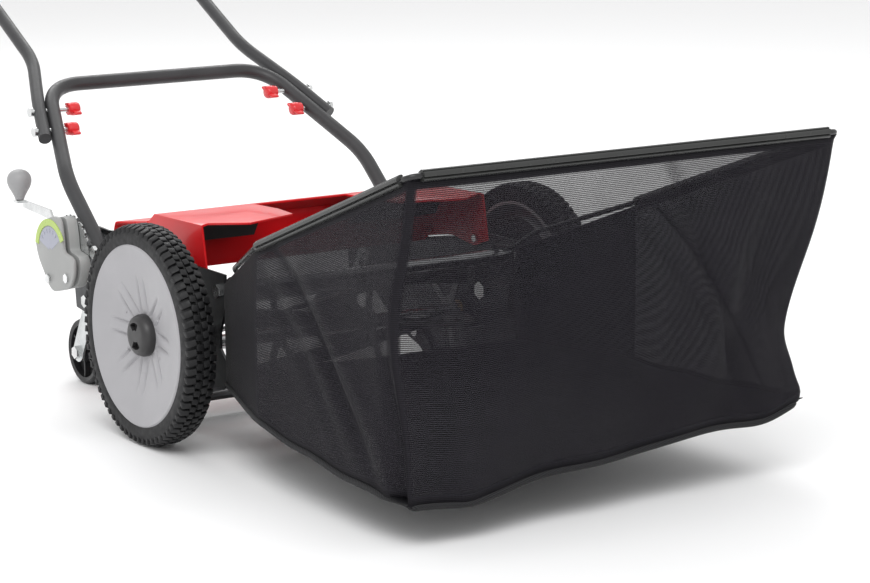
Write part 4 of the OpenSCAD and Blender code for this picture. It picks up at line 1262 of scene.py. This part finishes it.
def floor_grid(bm):
    """The floor cloth: spans the lower edge and sags between the sides."""
    throat_rows, side_rows, across = 16, 44, 72
    deep, crumpled, lifted = 8 * MM, 1.4 * MM, 1.5 * MM
    rows = throat_rows + side_rows
    bmesh.ops.create_grid(bm, x_segments=across, y_segments=rows, size=1)
    flat = {}
    throat = [k / throat_rows for k in range(throat_rows)]
    side = [k / side_rows for k in range(side_rows + 1)]
    near_edge = [cloth_spot(0, t, 1) for t in throat] + [cloth_spot(RIGHT_SIDE, t, 1) for t in side]
    far_edge = [cloth_spot(4, 1 - t, 1) for t in throat] + [cloth_spot(LEFT_SIDE, 1 - t, 1) for t in side]
    for v in bm.verts:
        row = round((v.co.y + 1) / 2 * rows)
        share = (v.co.x + 1) / 2
        a, b = near_edge[row], far_edge[row]
        spot = a.lerp(b, share)
        front = cloth_spot(FRONT_PANEL, share, 1)
        pull = max(0.0, row / rows - 0.75) / 0.25
        spot = spot.lerp(front, pull ** 2)
        sag = math.sin(math.pi * share) * math.sin(math.pi * row / rows)
        crumple = noise.noise(Vector((spot.x * 14, spot.y * 14, 3)))
        spot.z += -deep * sag + crumpled * crumple * sag + lifted
        spot.x *= 0.995
        flat[v] = (spot.x, spot.y)
        v.co = spot
    lay_uv(bm, flat)


def piping_route():
    """The line of the lower edge, smoothed and set just under the cloth."""
    route = []
    for part, count in ((0, 12), (1, 40), (2, 80), (3, 40), (4, 12)):
        route += [cloth_spot(part, k / count, 1) for k in range(count)]
    route.append(cloth_spot(4, 1, 1))
    for _ in range(5):
        inner = [(a + b * 2 + c) / 4 for a, b, c in zip(route, route[1:], route[2:])]
        route = [route[0]] + inner + [route[-1]]
    return [p - Vector((0, 0, 1.5 * MM)) for p in route]


def lengthwise_uv(bm, path, radius):
    """UV in metres along and round a swept cord."""
    runs = run_lengths(path)
    sides = len(bm.verts) // len(path)
    flat = {}
    for index, v in enumerate(bm.verts):
        flat[v] = (runs[min(index // sides, len(runs) - 1)], TAU * radius * (index % sides) / sides)
    lay_uv(bm, flat)


def cloth_object(bm, name, material, nodes, thickness):
    """A cloth piece with a little real thickness."""
    made = mesh_object(bm, name, finish(material))
    wall = made.modifiers.new("Cloth", "SOLIDIFY")
    wall.thickness = thickness
    wall.offset = 0
    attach(made, "catcher")
    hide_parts(*nodes)
    return made


class MOWER_OT_catcher_cloth(bpy.types.Operator):
    """Builds the catcher's hanging mesh, floor cloth and piping"""

    bl_idname = "mower.catcher_cloth"
    bl_label = "Catcher cloth"

    def execute(self, context):
        cloth = settings().cloth
        bm = bmesh.new()
        run = cloth_shell(bm)
        area = sum(f.calc_area() for f in bm.faces)
        wall = cloth_object(bm, "mesh_bag", "mesh_cloth",
                            ["bag_front", "bag_side_right", "bag_side_left", "bag_throats"], cloth.thickness)
        bm = bmesh.new()
        floor_grid(bm)
        floor_area = sum(f.calc_area() for f in bm.faces)
        base = cloth_object(bm, "bag_base", "coated_cloth", ["bag_floor"], 1.2 * MM)
        route = piping_route()
        bm = bmesh.new()
        sweep(bm, route, circle(cloth.piping, 14))
        lengthwise_uv(bm, route, cloth.piping)
        cord = piece(bm, "bound_edge", "catcher", "binding", ["bag_piping"], 60)
        return {"FINISHED"}


# ---- finishes of the carried-over parts ----
class MOWER_OT_metalwork(bpy.types.Operator):
    """Gives the plates, bolts, shafts and blades their metal finishes"""

    bl_idname = "mower.metalwork"
    bl_label = "Metalwork"

    def execute(self, context):
        dress("dark_zinc", "side_plate_right", "side_plate_left")
        dress("zinc_sheet", "rear_straps", "rear_cross_tube")
        dress("bright_zinc", "quadrant_plate", "height_lever", "tie_rod_bolts", "axle_bolts", "cover_screws",
              "knife_pivot_bolts", "handle_pivot_bolts", "handle_stops", "guide_bolts", "housing_bolts",
              "rear_axle_bolts", "handle_bolts", "knife_screws")
        dress("turned_steel", "front_tie_rod", "rear_tie_rod", "reel_shaft", "height_shaft")
        dress("ground_blade", "reel_blades", "bed_knife")
        dress("bronze", "reel_bearings")
        dress("cast_gear", "pinions", "drive_pawls", "reel_spiders")
        dress("knife_paint", "knife_bar")
        dress("black_plastic", "dust_covers", "ring_gear_right", "ring_gear_left")
        return {"FINISHED"}


# ---- stage ----
def pale_floor():
    it = Finish("pale_floor", base=(0.95, 0.95, 0.953), roughness=0.6)
    it.bump(it.noise(3, 2), 0.0005, 0.1)
    return it.material


def look_from(made, place, direction):
    made.location = place
    made.rotation_mode = "QUATERNION"
    made.rotation_quaternion = direction.to_track_quat("-Z", "Y")


def soft_box(name, place, aim, size, power):
    light = bpy.data.lights.new(name, "AREA")
    light.shape = "RECTANGLE"
    light.size, light.size_y = size
    light.energy = power
    look_from(to_scene(name, light), place, Vector(aim) - Vector(place))


class MOWER_OT_stage(bpy.types.Operator):
    """Sets the pale floor, the soft lights and the camera"""

    bl_idname = "mower.stage"
    bl_label = "Stage"

    def execute(self, context):
        stage = settings().stage
        bm = bmesh.new()
        bmesh.ops.create_grid(bm, x_segments=4, y_segments=4, size=14)
        mesh_object(bm, "floor", pale_floor())
        world = bpy.data.worlds.new("white_room")
        world.use_nodes = True
        background = world.node_tree.nodes["Background"].inputs
        background["Color"].default_value = (1, 1, 1, 1)
        background["Strength"].default_value = stage.sky
        bpy.context.scene.world = world
        bpy.context.scene.view_settings.view_transform = "Standard"
        soft_box("key_box", (-1.4, -1.8, 2.6), (0, 0, 0.2), (2.2, 1.6), stage.key_power)
        soft_box("rear_box", (0.8, 2.4, 2.4), (0, 0.1, 0.2), (2.6, 1.2), stage.key_power * 0.8)
        camera = bpy.data.cameras.new("camera")
        camera.lens = stage.lens
        camera.sensor_width = 36
        camera.clip_end = 60
        eye = to_scene("camera", camera)
        a, e = stage.azimuth, stage.pitch
        back = Vector((math.sin(a) * math.cos(e), -math.cos(a) * math.cos(e), math.sin(e)))
        look_from(eye, stage.eye, -back)
        bpy.context.scene.camera = eye
        return {"FINISHED"}


STEPS = (MOWER_OT_stage, MOWER_OT_metalwork, MOWER_OT_wheels, MOWER_OT_rear_wheels, MOWER_OT_covers,
         MOWER_OT_adjuster, MOWER_OT_handle, MOWER_OT_catcher_frame, MOWER_OT_catcher_cloth)


class MOWER_PT_panel(bpy.types.Panel):
    """Lists the mower's settings and its pieces"""

    bl_label = "Reel Mower"
    bl_idname = "MOWER_PT_panel"
    bl_space_type = "VIEW_3D"
    bl_region_type = "UI"
    bl_category = "Mower"

    def draw(self, context):
        mower = context.scene.mower
        for group in (mower.finishes, mower.wheels, mower.cloth, mower.stage):
            box = self.layout.box()
            for name in group.__annotations__:
                box.prop(group, name)
        for step in STEPS:
            self.layout.operator(step.bl_idname)


CLASSES = (MowerFinishes, MowerWheels, MowerCloth, MowerStage, MowerSettings) + STEPS + (MOWER_PT_panel,)


def register():
    for cls in CLASSES:
        bpy.utils.register_class(cls)
    bpy.types.Scene.mower = PointerProperty(type=MowerSettings)


def unregister():
    del bpy.types.Scene.mower
    for cls in reversed(CLASSES):
        bpy.utils.unregister_class(cls)


def main():
    register()
    for step in STEPS:
        group, name = step.bl_idname.split(".")
        getattr(getattr(bpy.ops, group), name)()


if __name__ == "__main__":
    main()
